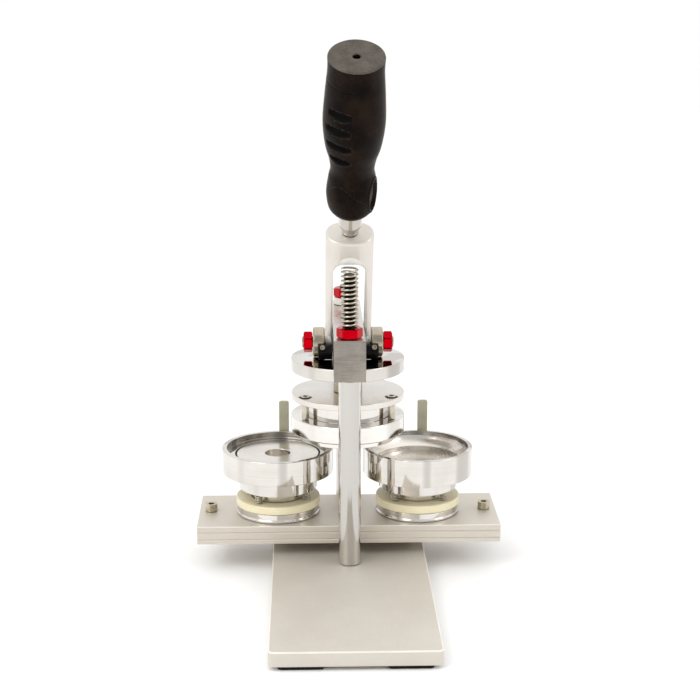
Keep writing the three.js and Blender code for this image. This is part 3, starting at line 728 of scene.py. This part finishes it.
def build_beam():
    low, high = span("top_beam")
    front, rear = RAM_Y - BEAM_RELIEF["reach"], RAM_Y + BEAM_RELIEF["reach"]
    roof = BEAM_RELIEF["roof"]
    outline = [(low.y, low.z), (front, low.z), (front, roof), (rear, roof), (rear, low.z),
               (high.y, low.z), (high.y, high.z), (low.y, high.z)]
    beam = new_object("look_top_beam", bar_along_x(outline, low.x, high.x), at())

    under, above = low.z - THROUGH, high.z + THROUGH
    tools = []
    for node in ("front_column", "rear_column"):
        tools.append(upright(BORE, under, above, y=centre(node).y))
    for node in ("guide_pin_front", "guide_pin_rear"):
        y = centre(node).y
        tools.append(upright(GUIDE_PIN["bore"], under, above, y=y))
        tools.append(upright(PIN_SPRING_SEAT["radius"], PIN_SPRING_SEAT["z"], above, y=y))
    axle_bore = [(PIVOT.y + py, PIVOT.z + pz) for py, pz, _ in circle(BORE, 0, SMALL_SIDES)]
    tools.append(bar_along_x(axle_bore, low.x - THROUGH, high.x + THROUGH))
    cut(beam, *tools)
    bevel(beam, EDGE)
    finish_piece(beam, BRUSHED, "frame", "top_beam")
    # The beam's top faces are painted lighter than its front and sides: painted light from above.
    paint(beam, BEAM_TOP_PAINTED_LIGHT, lambda face: face.normal.z > 0.7)


def build_rail():
    low, high = span("guide_rail")
    rear = [(RAIL_FOOT, low.z), *RAIL_SIDE, (RAIL_HEAD, high.z)]
    outline = rear + [(-y, z) for y, z in reversed(rear)]
    rail = new_object("look_guide_rail", bar_along_x(outline, low.x, high.x), at(0, RAM_Y))
    bevel(rail, 0.3)
    finish_piece(rail, BRUSHED, "frame", "guide_rail")


def build_lever_spring():
    spring = coil("lever_spring", LEVER_COIL, "frame", BRIGHT_SPRING)
    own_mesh(spring)


# -------------------------------- lever
def lever_place():
    return at(0, PIVOT.y, PIVOT.z, Matrix.Rotation(LEAN, 4, "X"))


def handle_place():
    """The frame of the stem and the grip: the lever's own, tipped sideways about the fork's top."""
    return lever_place() @ at(z=FORK["top"], turn=Matrix.Rotation(HANDLE_TILT, 4, "Y")) @ at(z=-FORK["top"])


def along_x(side):
    """The place of a piece on the pivot whose own +Z points outward along X."""
    return at(0, PIVOT.y, PIVOT.z, Matrix.Rotation(side * math.pi / 2, 4, "Y"))


def build_axle():
    half = span("lever_axle")[1].x
    rings = [circle(3.0, -half, SMALL_SIDES), circle(3.4, -half + 0.2, SMALL_SIDES)]
    rings += thread_rings(STUD, -half + 0.8, -AXLE_THREAD_FROM, **THREAD, sides=SMALL_SIDES)
    rings += thread_rings(STUD, AXLE_THREAD_FROM, half - 0.8, **THREAD, sides=SMALL_SIDES)
    rings += [circle(3.4, half - 0.2, SMALL_SIDES), circle(3.0, half, SMALL_SIDES)]
    piece("lever_axle", loft(rings), BRIGHT_SPRING, "frame", along_x(1))
    for name, side in (("left", -1), ("right", 1)):
        low, high = span(f"axle_nut_{name}")
        place = along_x(side) @ at(z=min(abs(low.x), abs(high.x)))
        nut(f"axle_nut_{name}", AXLE_NUT_FLATS, BORE, high.x - low.x, RED, "frame", place)


def arch(half, top, corner, bottom, y, steps=12):
    """An arch-shaped ring standing across Y."""
    ring = [(half, y, bottom)]
    for side, start in ((1, 0), (-1, 1)):
        for i in range(steps + 1):
            angle = math.pi / 2 * (start + i / steps)
            x = side * (half - corner) + corner * math.cos(angle)
            ring.append((x, y, top - corner + corner * math.sin(angle)))
    ring.append((-half, y, bottom))
    return ring


def on_arch_chamfer(face):
    """Whether a face of the fork lies on the slanted band round the front of its window."""
    x, y, z = face.center / MM
    forward = y < 2.4 - FORK["depth"] and face.normal.y < -0.1
    inward = face.normal.z < -0.15 or face.normal.x * x < -0.02
    return forward and inward and 0 < z < FORK["arch"] + 9


def fork_body():
    """The fork's outside: nearly square below, rounder towards its flat top, round under the pivot."""
    half, depth, end, top = FORK["half"], FORK["depth"], FORK["end"], FORK["top"]
    crown = [(top - 2.0, 0.0), (top - 1.1, 0.25), (top - 0.4, 0.9), (top, 1.9)]
    levels = [-7.85, -7.4, -6.4, -5, -3, 0, 4, 8, 12, 16, 22, 30, 38, 45, 52, 60, 68, 75, 85]
    rings = []
    for z, inset in [(level, 0.0) for level in levels] + crown:
        if z < 0:
            deep = math.sqrt(end * end - z * z)
        else:
            deep = min(depth, end + (depth - end) * z / (2 * end))
        squareness = 5.5 - 3.0 * smoothstep(20, 70, z)
        rings.append(oval(half - inset, deep - inset, squareness, z, FORK_SIDES))
    return loft(rings)


def fork_window():
    """The arched window through the fork, which flares at the front and at the back."""
    depth = FORK["depth"]
    rise = 8.4
    flare = [(-depth - 1, 2.4, rise * 1.38), (-depth, 1.7, rise), (-depth + 2.6, 0, 0),
             (depth - 2.6, 0, 0), (depth, 1.7, rise), (depth + 1, 2.4, rise * 1.38)]
    rings = []
    for y, side, up in flare:
        half = FORK["inner"] + side
        corner = min(FORK["corner"] + side + up * 0.45, half - 0.1)
        rings.append(arch(half, FORK["arch"] + up, corner, -FORK["end"] - THROUGH, y))
    return loft(rings)


def build_fork():
    fork = new_object("look_lever_fork", fork_body(), lever_place())
    top = FORK["top"]
    reach = FORK["half"] + THROUGH
    axle_bore = bar_along_x([(py, pz) for py, pz, _ in circle(BORE, 0, SMALL_SIDES)], -reach, reach)
    socket = [(TANG["bore"], TANG["socket"]), (TANG["bore"], top - 0.3), (5.6, top + 0.1), (6.6, top + 1)]
    points, faces = lathe(socket, SIDES, closed=False)
    tilt = Matrix.Rotation(HANDLE_TILT, 4, "Y")
    pivot = Vector((0, 0, top))
    askew = [tuple(tilt @ (Vector(point) - pivot) + pivot) for point in points]
    cut(fork, fork_window(), axle_bore, (askew, faces))
    bevel(fork, 0.3, 2, math.radians(30))
    finish_piece(fork, SATIN, "lever", "lever_fork")
    # The slanted band round the window is painted near white: a painted highlight.
    paint(fork, CHAMFER_HIGHLIGHT, on_arch_chamfer)


def build_stem():
    neck, flare, stem_top = STEM["neck"], STEM["flare"], STEM["top"]
    foot = FORK["top"] + 2 * GAP
    tang = TANG["radius"]
    profile = [(tang - 0.3, TANG["z0"]), (tang, TANG["z0"] + 0.5), (tang, foot), (neck, foot),
               *STEM_FLARE, (flare, stem_top), (tang, stem_top), (tang, TANG["z1"] - 0.4),
               (tang - 0.4, TANG["z1"])]
    shape = lathe(softened(profile, 0.4, closed=False), SIDES, closed=False)
    piece("handle_stem", shape, CHROME, "lever", handle_place())


# -------------------------------- grip
# radius and height of the grip's swell
GRIP_SWELL = [(7.6, 117.3), (10.5, 118.4), (13, 121), (14.9, 125), (16, 134.5), (14.9, 146), (13.8, 153.4),
              (14.9, 162), (17.6, 173), (19.2, 189.4), (18.4, 208), (17.1, 226), (17.2, 235.2)]
GROOVES = [(-32, 203.6, 28), (-36, 192, 30), (-34, 179.8, 31), (-33, 168.7, 28)]  # angle, height, half width
GROOVE_DEPTH = 2.6
RIDGE_PEAK = (-32, 147.5)  # angle from the front and height of a low ridge like a tent
LINE = (-48, 221.5)  # angle and height of the middle of a short line where the mould parted
RECESS = {"angle": 70, "z": 135.5, "half_angle": 27, "half_z": 12.5, "depth": 2.8}  # the oval thumb rest


def finger_groove(angle, z, middle, height, half):
    """How deep a finger groove is at an angle and height: a pocket with a level roof and a round floor."""
    across = (angle - middle) / half
    if abs(across) >= 1:
        return 0.0
    roof = height + 3.4 - 1.6 * across * across
    floor = height - 3.4 * (1 - across * across) ** 0.6 - 0.6
    if not floor < z < roof:
        return 0.0
    share = (z - floor) / (roof - floor)
    return GROOVE_DEPTH * smoothstep(0, 0.3, share) * (1 - smoothstep(0.85, 1.0, share)) * (1 - across ** 4)


def grip_relief(angle, z):
    """How far the moulded surface stands in from the swell, at an angle from the front and a height."""
    depth = sum(finger_groove(angle, z, *groove) for groove in GROOVES)
    peak, high = RIDGE_PEAK
    ridge = high - 0.25 * (math.hypot(angle - peak, 12) - 12)
    if peak - 50 < angle < peak + 74:
        fade = smoothstep(0, 12, angle - peak + 50) * smoothstep(0, 12, peak + 74 - angle)
        depth -= 0.5 * fade * (1 - smoothstep(0, 0.9, abs(z - ridge)))
        if z < ridge:
            depth += 0.4 * fade * (1 - smoothstep(0, 3.5, ridge - z))
    middle, height = LINE
    if abs(angle - middle) < 44:
        depth += 0.3 * (1 - smoothstep(0, 0.7, abs(z - height)))
    across = (angle - RECESS["angle"]) / RECESS["half_angle"]
    up = (z - RECESS["z"]) / RECESS["half_z"]
    from_centre = math.hypot(across, up)
    depth += RECESS["depth"] * (1 - smoothstep(0.80, 1.0, from_centre))
    depth -= 0.5 * max(0.0, 1 - abs(from_centre - 1.05) / 0.12)
    return depth


def in_groove(face):
    """Whether a face of the grip lies in a finger groove."""
    x, y, z = face.center / MM
    angle = math.degrees(math.atan2(x, -y))
    deep = max(finger_groove(angle, z, *groove) for groove in GROOVES)
    return math.hypot(x, y) > 8 and deep > 0.35 * GROOVE_DEPTH


def grip_ring(radius, z, relieved):
    """A ring round the grip, starting at the back; relieved gives it the moulded surface."""
    ring = []
    for i in range(GRIP_SIDES):
        angle = 360 * i / GRIP_SIDES - 180
        reach = radius - (grip_relief(angle, z) if relieved else 0)
        turn = math.radians(angle)
        ring.append((reach * math.sin(turn), -reach * math.cos(turn), z))
    return ring


def build_grip():
    foot, top = GRIP["foot"], GRIP["top"]
    rings = [grip_ring(r, z, foot + 1 < z < top - 2) for r, z in catmull(GRIP_SWELL, 30)]
    bolt_bore = GRIP_BOLT["head"] + 0.35
    inside = [(17.0, top - 0.4), (16.5, top), (15, top), (4.2, top - 0.15), (2.8, top - 0.3),
              (2.4, top - 0.8), (2.4, top - 2.2), (bolt_bore, top - 2.5), (bolt_bore, TANG["room"]),
              (TANG["bore"], TANG["room"]), (TANG["bore"], foot + 0.5), (5.3, foot), (7.2, foot)]
    rings += [grip_ring(r, z, False) for r, z in inside]
    grip = piece("handle_grip", loft(rings, closed=True), PLASTIC, "lever", handle_place())
    # The grip's top face is painted grey: a painted sheen from above.
    paint(grip, GRIP_TOP_PAINTED_SHEEN, lambda face: face.center.z > (top - 1.2) * MM and face.normal.z > 0.3)
    # The finger grooves are painted near black: painted shade under their lips.
    paint(grip, GROOVE_SHADE, in_groove)


def build_grip_bolt():
    top = GRIP_BOLT["top"]
    profile = screw_outside(GRIP_BOLT["foot"], top, GRIP_BOLT, (0.1, 0.2))
    socket_screw("grip_bolt", profile, top, 2.6, 2.2, BLACK, "lever", handle_place())


def build_roller(name, side):
    low, high = span(f"pivot_roller_{name}")
    inner = min(abs(low.x), abs(high.x))
    outer = max(abs(low.x), abs(high.x))
    radius = (high.z - low.z) / 2
    profile = [(BORE, inner), (radius - 0.8, inner), (radius, inner + 0.7), (radius, outer - 0.7),
               (radius - 0.8, outer), (7.2, outer), (6.8, outer - 0.35), (BORE, outer - 0.35)]
    shape = lathe(softened(profile, 0.25))
    piece(f"pivot_roller_{name}", shape, TURNED_STEEL, "lever", along_x(side))


def dress_cam(name):
    """A cam keeps its CAD mesh, with broken edges and a black colour."""
    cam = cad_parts[f"cam_{name}"]
    cam.data.materials.clear()
    cam.data.materials.append(BLACK.material)
    weld = cam.modifiers.new("weld", "WELD")
    weld.merge_threshold = 0.01 * MM
    edges = cam.modifiers.new("bevel", "BEVEL")
    edges.width = EDGE * MM
    edges.segments = 2
    edges.limit_method = "ANGLE"
    edges.angle_limit = math.radians(40)


def build_cam_screw(name):
    length = CAM_SCREW["length"]
    outward = Vector((0, -math.sin(CAM_FACE_TILT), math.cos(CAM_FACE_TILT)))
    head_top = centre(f"cam_screw_{name}") + outward * length / 2
    place = at(*head_top, Matrix.Rotation(CAM_FACE_TILT, 4, "X")) @ at(z=-length)
    profile = screw_outside(0, length, CAM_SCREW)
    socket_screw(f"cam_screw_{name}", profile, length, 1.6, 0.9, TURNED_STEEL, "lever", place)


def build_rollers_and_cams():
    for name, side in (("left", -1), ("right", 1)):
        build_roller(name, side)
        dress_cam(name)
        build_cam_screw(name)


# -------------------------------- ram and upper die
def solid_disc(node, look, edge, cuts=()):
    """A flat disc of the ram, with any holes cut through it."""
    foot, top, radius = turned_size(node)
    shape = solid_of([(radius, foot), (radius, top)], edge, FINE_SIDES)
    disc = new_object("look_" + node, shape, at(0, RAM_Y))
    cut(disc, *cuts)
    return finish_piece(disc, look, "ram", node)


def build_ram():
    disc = solid_disc("pressure_disc", CHROME, 0.5)
    paint(disc, DISC_WALL, lambda face: abs(face.normal.z) < 0.5)

    foot, top, radius = turned_size("ram_shank")
    z, half, waist = SHANK_GROOVE["z"], SHANK_GROOVE["half"], radius - SHANK_GROOVE["deep"]
    outside = [(radius, foot), (radius, z - 2 * half), (waist, z - half), (waist, z + half),
               (radius, z + 2 * half), (radius, top)]
    turned_solid("ram_shank", outside, TURNED_STEEL, "ram", 0.3, SIDES)

    foot, top, _ = turned_size("upper_die_plate")
    holes = []
    for name in PLATE_BOLTS:
        mid = centre(f"plate_bolt_{name}")
        for radius, z in ((PLATE_BOLT["bore"], foot - THROUGH),
                          (PLATE_BOLT["sink"], top - PLATE_BOLT["sink_depth"])):
            holes.append(upright(radius, z, top + THROUGH, mid.x, mid.y - RAM_Y))
    solid_disc("upper_die_plate", SATIN_PLATE, 0.4, holes)

    foot, top, radius = turned_size("upper_punch")
    outside = [(radius - 1.2, foot), (radius, foot + 1.2), (radius, top)]
    turned_solid("upper_punch", outside, CHROME, "ram", 0.4)


def build_guide_pins():
    for name in ("front", "rear"):
        standing_screw(f"guide_pin_{name}", GUIDE_PIN, 4, 2.2, SPRING, "ram", (0.4, 0.5))
        spring = coil(f"ram_spring_{name}", PIN_COIL, "frame", SPRING)
        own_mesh(spring)


def build_upper_ring():
    foot, top, radius = turned_size("upper_ring")
    bore, lip, shoulder = UPPER_RING["bore"], UPPER_RING["lip"], UPPER_RING["shoulder"]
    profile = [(bore, foot + 0.6), (bore + 0.6, foot), (lip, foot), (lip, shoulder),
               (radius - 0.8, shoulder), (radius, shoulder + 0.8), (radius, top - 0.5),
               (radius - 0.5, top), (bore, top)]
    turned_ring("upper_ring", profile, UPPER_CHROME, "upper_die_ring", EDGE, FINE_SIDES)
    for name in PLATE_BOLTS:
        standing_screw(f"plate_bolt_{name}", PLATE_BOLT, 3, 1.8, BRIGHT_SPRING, "upper_die_ring")


# -------------------------------- sliding table and lower dies
def build_table():
    low, high = span("slide_table")
    depth = (high.y - low.y) / 2
    half, deep = TABLE_GROOVE["half"], TABLE_GROOVE["deep"]
    rear = [(depth, low.z)]
    for z in TABLE_GROOVES:
        rear += [(depth, z - half), (depth - deep, z), (depth, z + half)]
    rear += [(depth, high.z)]
    neck, head, roof = TABLE_CHANNEL["neck"], TABLE_CHANNEL["head"], TABLE_CHANNEL["roof"]
    channel = [(-neck, low.z), (-head, roof), (head, roof), (neck, low.z)]
    outline = channel + rear + [(-y, z) for y, z in reversed(rear)]
    table = new_object("look_slide_table", bar_along_x(outline, low.x, high.x), at(0, RAM_Y))
    for name in ("left", "right"):
        x = centre(f"stop_screw_{name}").x
        cut(table, upright(STOP["bore"], low.z - THROUGH, high.z + THROUGH, x=x))
    bevel(table, 0.45, 2, math.radians(50))
    finish_piece(table, ANODISED, "table", "slide_table")
    # The broken top edge of the table is painted near white: a painted highlight.
    paint(table, PAINTED_EDGE_HIGHLIGHT, lambda face: on_top_edge(face, high.z))


def build_stop_screws():
    shank, head = STOP["shank"], STOP["head"]
    for name in ("left", "right"):
        node = f"stop_screw_{name}"
        low, high = span(node)
        seat = high.z - STOP["head_height"]
        profile = [(shank, seat - 4), (shank, seat), (head, seat), (head, high.z)]
        socket_screw(node, profile, high.z, 4, 2.4, STOP_STEEL, "table", stand(node),
                     thread=(shank, low.z, seat - 4.2))


def quarter_turn(y, z, radius, start):
    """Points of a bend about (y, z), from an angle in degrees a quarter turn on."""
    points = []
    for i in range(5):
        angle = math.radians(start + 90 * i / 4)
        points.append((y + radius * math.cos(angle), z + radius * math.sin(angle)))
    return points


def tab_line(low, high):
    """The middle of the strip, from its short upturn under the table to its rounded tip."""
    bend = TAB["bend"]
    inner = low.y + TAB["thick"] / 2
    outer = high.y - TAB["thick"] / 2
    foot = low.z + TAB["thick"] / 2
    line = [(inner, low.z + TAB["upturn"]), (inner, foot + bend)]
    line += quarter_turn(inner + bend, foot + bend, bend, 180)[1:]
    line += quarter_turn(outer - bend, foot + bend, bend, 270)
    shoulder = high.z - TAB["corner"]
    line.append((outer, shoulder))
    for up in (0.35, 0.7, 1.0, 1.25, 1.42, TAB["corner"]):
        line.append((outer, shoulder + up))
    return line


def tab_section(half):
    """The strip's section across its line, with broken edges; the second number is a share of its
    half thickness."""
    edge = 0.3
    return [(-half + edge, -1), (half - edge, -1), (half, -1 + edge), (half, 1 - edge),
            (half - edge, 1), (-half + edge, 1), (-half, 1 - edge), (-half, -1 + edge)]


def build_tabs():
    corner, thick = TAB["corner"], TAB["thick"]
    for name in ("left", "right"):
        node = f"finger_tab_{name}"
        low, high = span(node)
        half = (high.x - low.x) / 2
        outer = high.y - thick / 2
        line = tab_line(low, high)
        rings = []
        for i, (y, z) in enumerate(line):
            before = Vector(line[max(i - 1, 0)])
            after = Vector(line[min(i + 1, len(line) - 1)])
            run = (after - before).normalized()
            over = max(0.0, z - (high.z - corner)) if y == outer else 0.0
            width = half - corner + math.sqrt(max(0.0, corner * corner - over * over))
            ring = []
            for across, out in tab_section(width):
                ring.append((across, y - run.y * out * thick / 2, z + run.x * out * thick / 2))
            rings.append(ring)
        piece(node, loft(rings), OLIVE, "table", at((low.x + high.x) / 2))


def build_die(name):
    """The base, cushion and springs that both lower dies have."""
    foot, top, radius = turned_size(f"die_base_{name}")
    outside = [(radius, foot), (radius, foot + 1.3), (radius - 0.7, foot + 1.9), (radius - 0.7, top)]
    turned_solid(f"die_base_{name}", outside, CHROME, "table", EDGE, SIDES)
    foot, top, radius = turned_size(f"cushion_{name}")
    profile = [(CUSHION_BORE, foot), (radius, foot), (radius, top), (CUSHION_BORE, top)]
    turned_ring(f"cushion_{name}", profile, NYLON, "table", 0.7)
    for i in range(4):
        node = f"die_spring_{name}_{i + 1}"
        spring = coil(node, DIE_COIL, "table", BRIGHT_SPRING)
        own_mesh(spring)


def build_anvil(name, step, crown, look, edge):
    """An anvil on its stem; crown is what its outside does at the top."""
    node = f"anvil_{name}"
    foot, _, radius = turned_size(node)
    outside = [(ANVIL_STEM, foot), (ANVIL_STEM, step), (radius, step), *crown]
    turned_solid(node, outside, look, "table", edge)


def build_floating_ring(node, step, inside, body, edge, sides):
    """A ring with a narrower skirt below its step; inside is its bore, from the top down."""
    _, top, radius = turned_size(node)
    bore, skirt, foot = SKIRT["bore"], SKIRT["radius"], SKIRT["z0"]
    profile = [(bore, foot), (skirt, foot), (skirt, step), (radius, step), (radius, top), *inside]
    return turned_ring(node, profile, CHROME, body, edge, sides)


def build_shell_die():
    build_die("left")
    _, top, radius = turned_size("anvil_left")
    hole = SHELL_ANVIL["hole"]
    crown = [(radius, top), (hole, top), (hole, SHELL_ANVIL["hole_z"])]
    build_anvil("left", SHELL_ANVIL["step"], crown, ANVIL, 0.45)

    top = turned_size("shell_ring")[1]
    seat, seat_z, bore, floor = (SHELL_RING[key] for key in ("seat", "seat_z", "bore", "floor"))
    inside = [(seat, top), (seat, seat_z), (bore, seat_z), (bore, floor), (SKIRT["bore"], floor)]
    ring = build_floating_ring("shell_ring", SHELL_RING["step"], inside, "shell_die_ring", 0.45, FINE_SIDES)
    # The inner walls get a rougher bored finish, painted darker: painted shade inside the ring.
    paint(ring, BORE_SHADE, faces_axis)


def build_cup_die():
    build_die("right")
    _, top, radius = turned_size("anvil_right")
    build_anvil("right", CUP_ANVIL_STEP, [(radius, top)], BOWL, 0.5)

    top = turned_size("cup_ring")[1]
    throat, floor = CUP_RING["throat"], CUP_RING["floor"]
    bowl = catmull([(CUP_RING["mouth"], top), *BOWL_CURVE], 8)
    inside = [*bowl, (throat, floor), (SKIRT["bore"], floor)]
    ring = build_floating_ring("cup_ring", CUP_RING["step"], inside, "cup_die_ring", 0.3, BOWL_SIDES)
    paint(ring, BOWL, faces_axis)
    # The top band of the cup's inner wall is painted darker: painted shade inside its mouth.
    paint(ring, BORE_SHADE, lambda face: faces_axis(face) and face.center.z > (top - 3) * MM)


# -------------------------------- floor, light, camera
def build_stage():
    floor_material = bpy.data.materials.new("floor")
    floor_material.use_nodes = True
    nodes = Nodes(floor_material.node_tree)
    inputs = {"Base Color": (0.97, 0.97, 0.97, 1), "Roughness": 1.0, "Specular IOR Level": 0.0}
    nodes.feed(nodes.tree.nodes["Principled BSDF"], inputs)
    size = 30000
    corners = [(-size, -size, 0), (size, -size, 0), (size, size, 0), (-size, size, 0)]
    floor = new_object("floor", (corners, [(0, 1, 2, 3)]))
    floor.data.materials.append(floor_material)

    world = bpy.data.worlds.new("studio")
    bpy.context.scene.world = world
    world.use_nodes = True
    light_by_direction(world.node_tree)
    panel("key", (-900, -900, 1200), 900, 9, (1, 0.99, 0.97))
    panel("fill", (1200, -500, 900), 600, 3, (1, 1, 1))


def light_by_direction(tree):
    """A bright ceiling over a paler horizon, and a dim room behind the camera."""
    nodes = Nodes(tree)
    direction = nodes.add("ShaderNodeTexCoord").outputs["Generated"]
    parts = nodes.add("ShaderNodeSeparateXYZ", {"Vector": direction}).outputs
    sky = nodes.mix_values(nodes.ramp(parts["Z"], 0.35, 0.7), HORIZON, CEILING)
    behind = nodes.maths("MULTIPLY", nodes.ramp(parts["Y"], -0.25, -0.6), nodes.ramp(parts["Z"], 0.02, 0.3))
    room = nodes.mix_values(behind, sky, ROOM)
    nodes.feed(tree.nodes["Background"], {"Color": (1, 1, 1, 1), "Strength": room})


def panel(name, place, size, power, colour):
    """A square lamp aimed at the middle of the press."""
    light = bpy.data.lights.new(name, "AREA")
    light.size = size * MM
    light.energy = power
    light.color = colour
    lamp = bpy.data.objects.new(name, light)
    lamp.location = Vector(place) * MM
    aim = Vector((0, 0, 100)) - Vector(place)
    lamp.rotation_euler = aim.to_track_quat("-Z", "Y").to_euler()
    bpy.context.scene.collection.objects.link(lamp)


def build_camera():
    lens = bpy.data.cameras.new("camera")
    lens.sensor_width = 36
    lens.lens = CAMERA["lens"]
    camera = bpy.data.objects.new("camera", lens)
    camera.location = Vector(CAMERA["place"]) * MM
    camera.rotation_euler = (math.radians(90 - CAMERA["down"]), 0, math.radians(CAMERA["turn"]))
    lens.clip_start = 0.01
    lens.clip_end = 100
    bpy.context.scene.collection.objects.link(camera)
    bpy.context.scene.camera = camera


build_base_plate()
build_feet()
build_columns()
build_beam()
build_rail()
build_lever_spring()
build_axle()
build_fork()
build_stem()
build_grip()
build_grip_bolt()
build_rollers_and_cams()
build_ram()
build_guide_pins()
build_upper_ring()
build_table()
build_stop_screws()
build_tabs()
build_shell_die()
build_cup_die()
build_stage()
build_camera()
bpy.context.scene.view_settings.view_transform = "Standard"
bpy.context.scene.view_settings.look = "None"
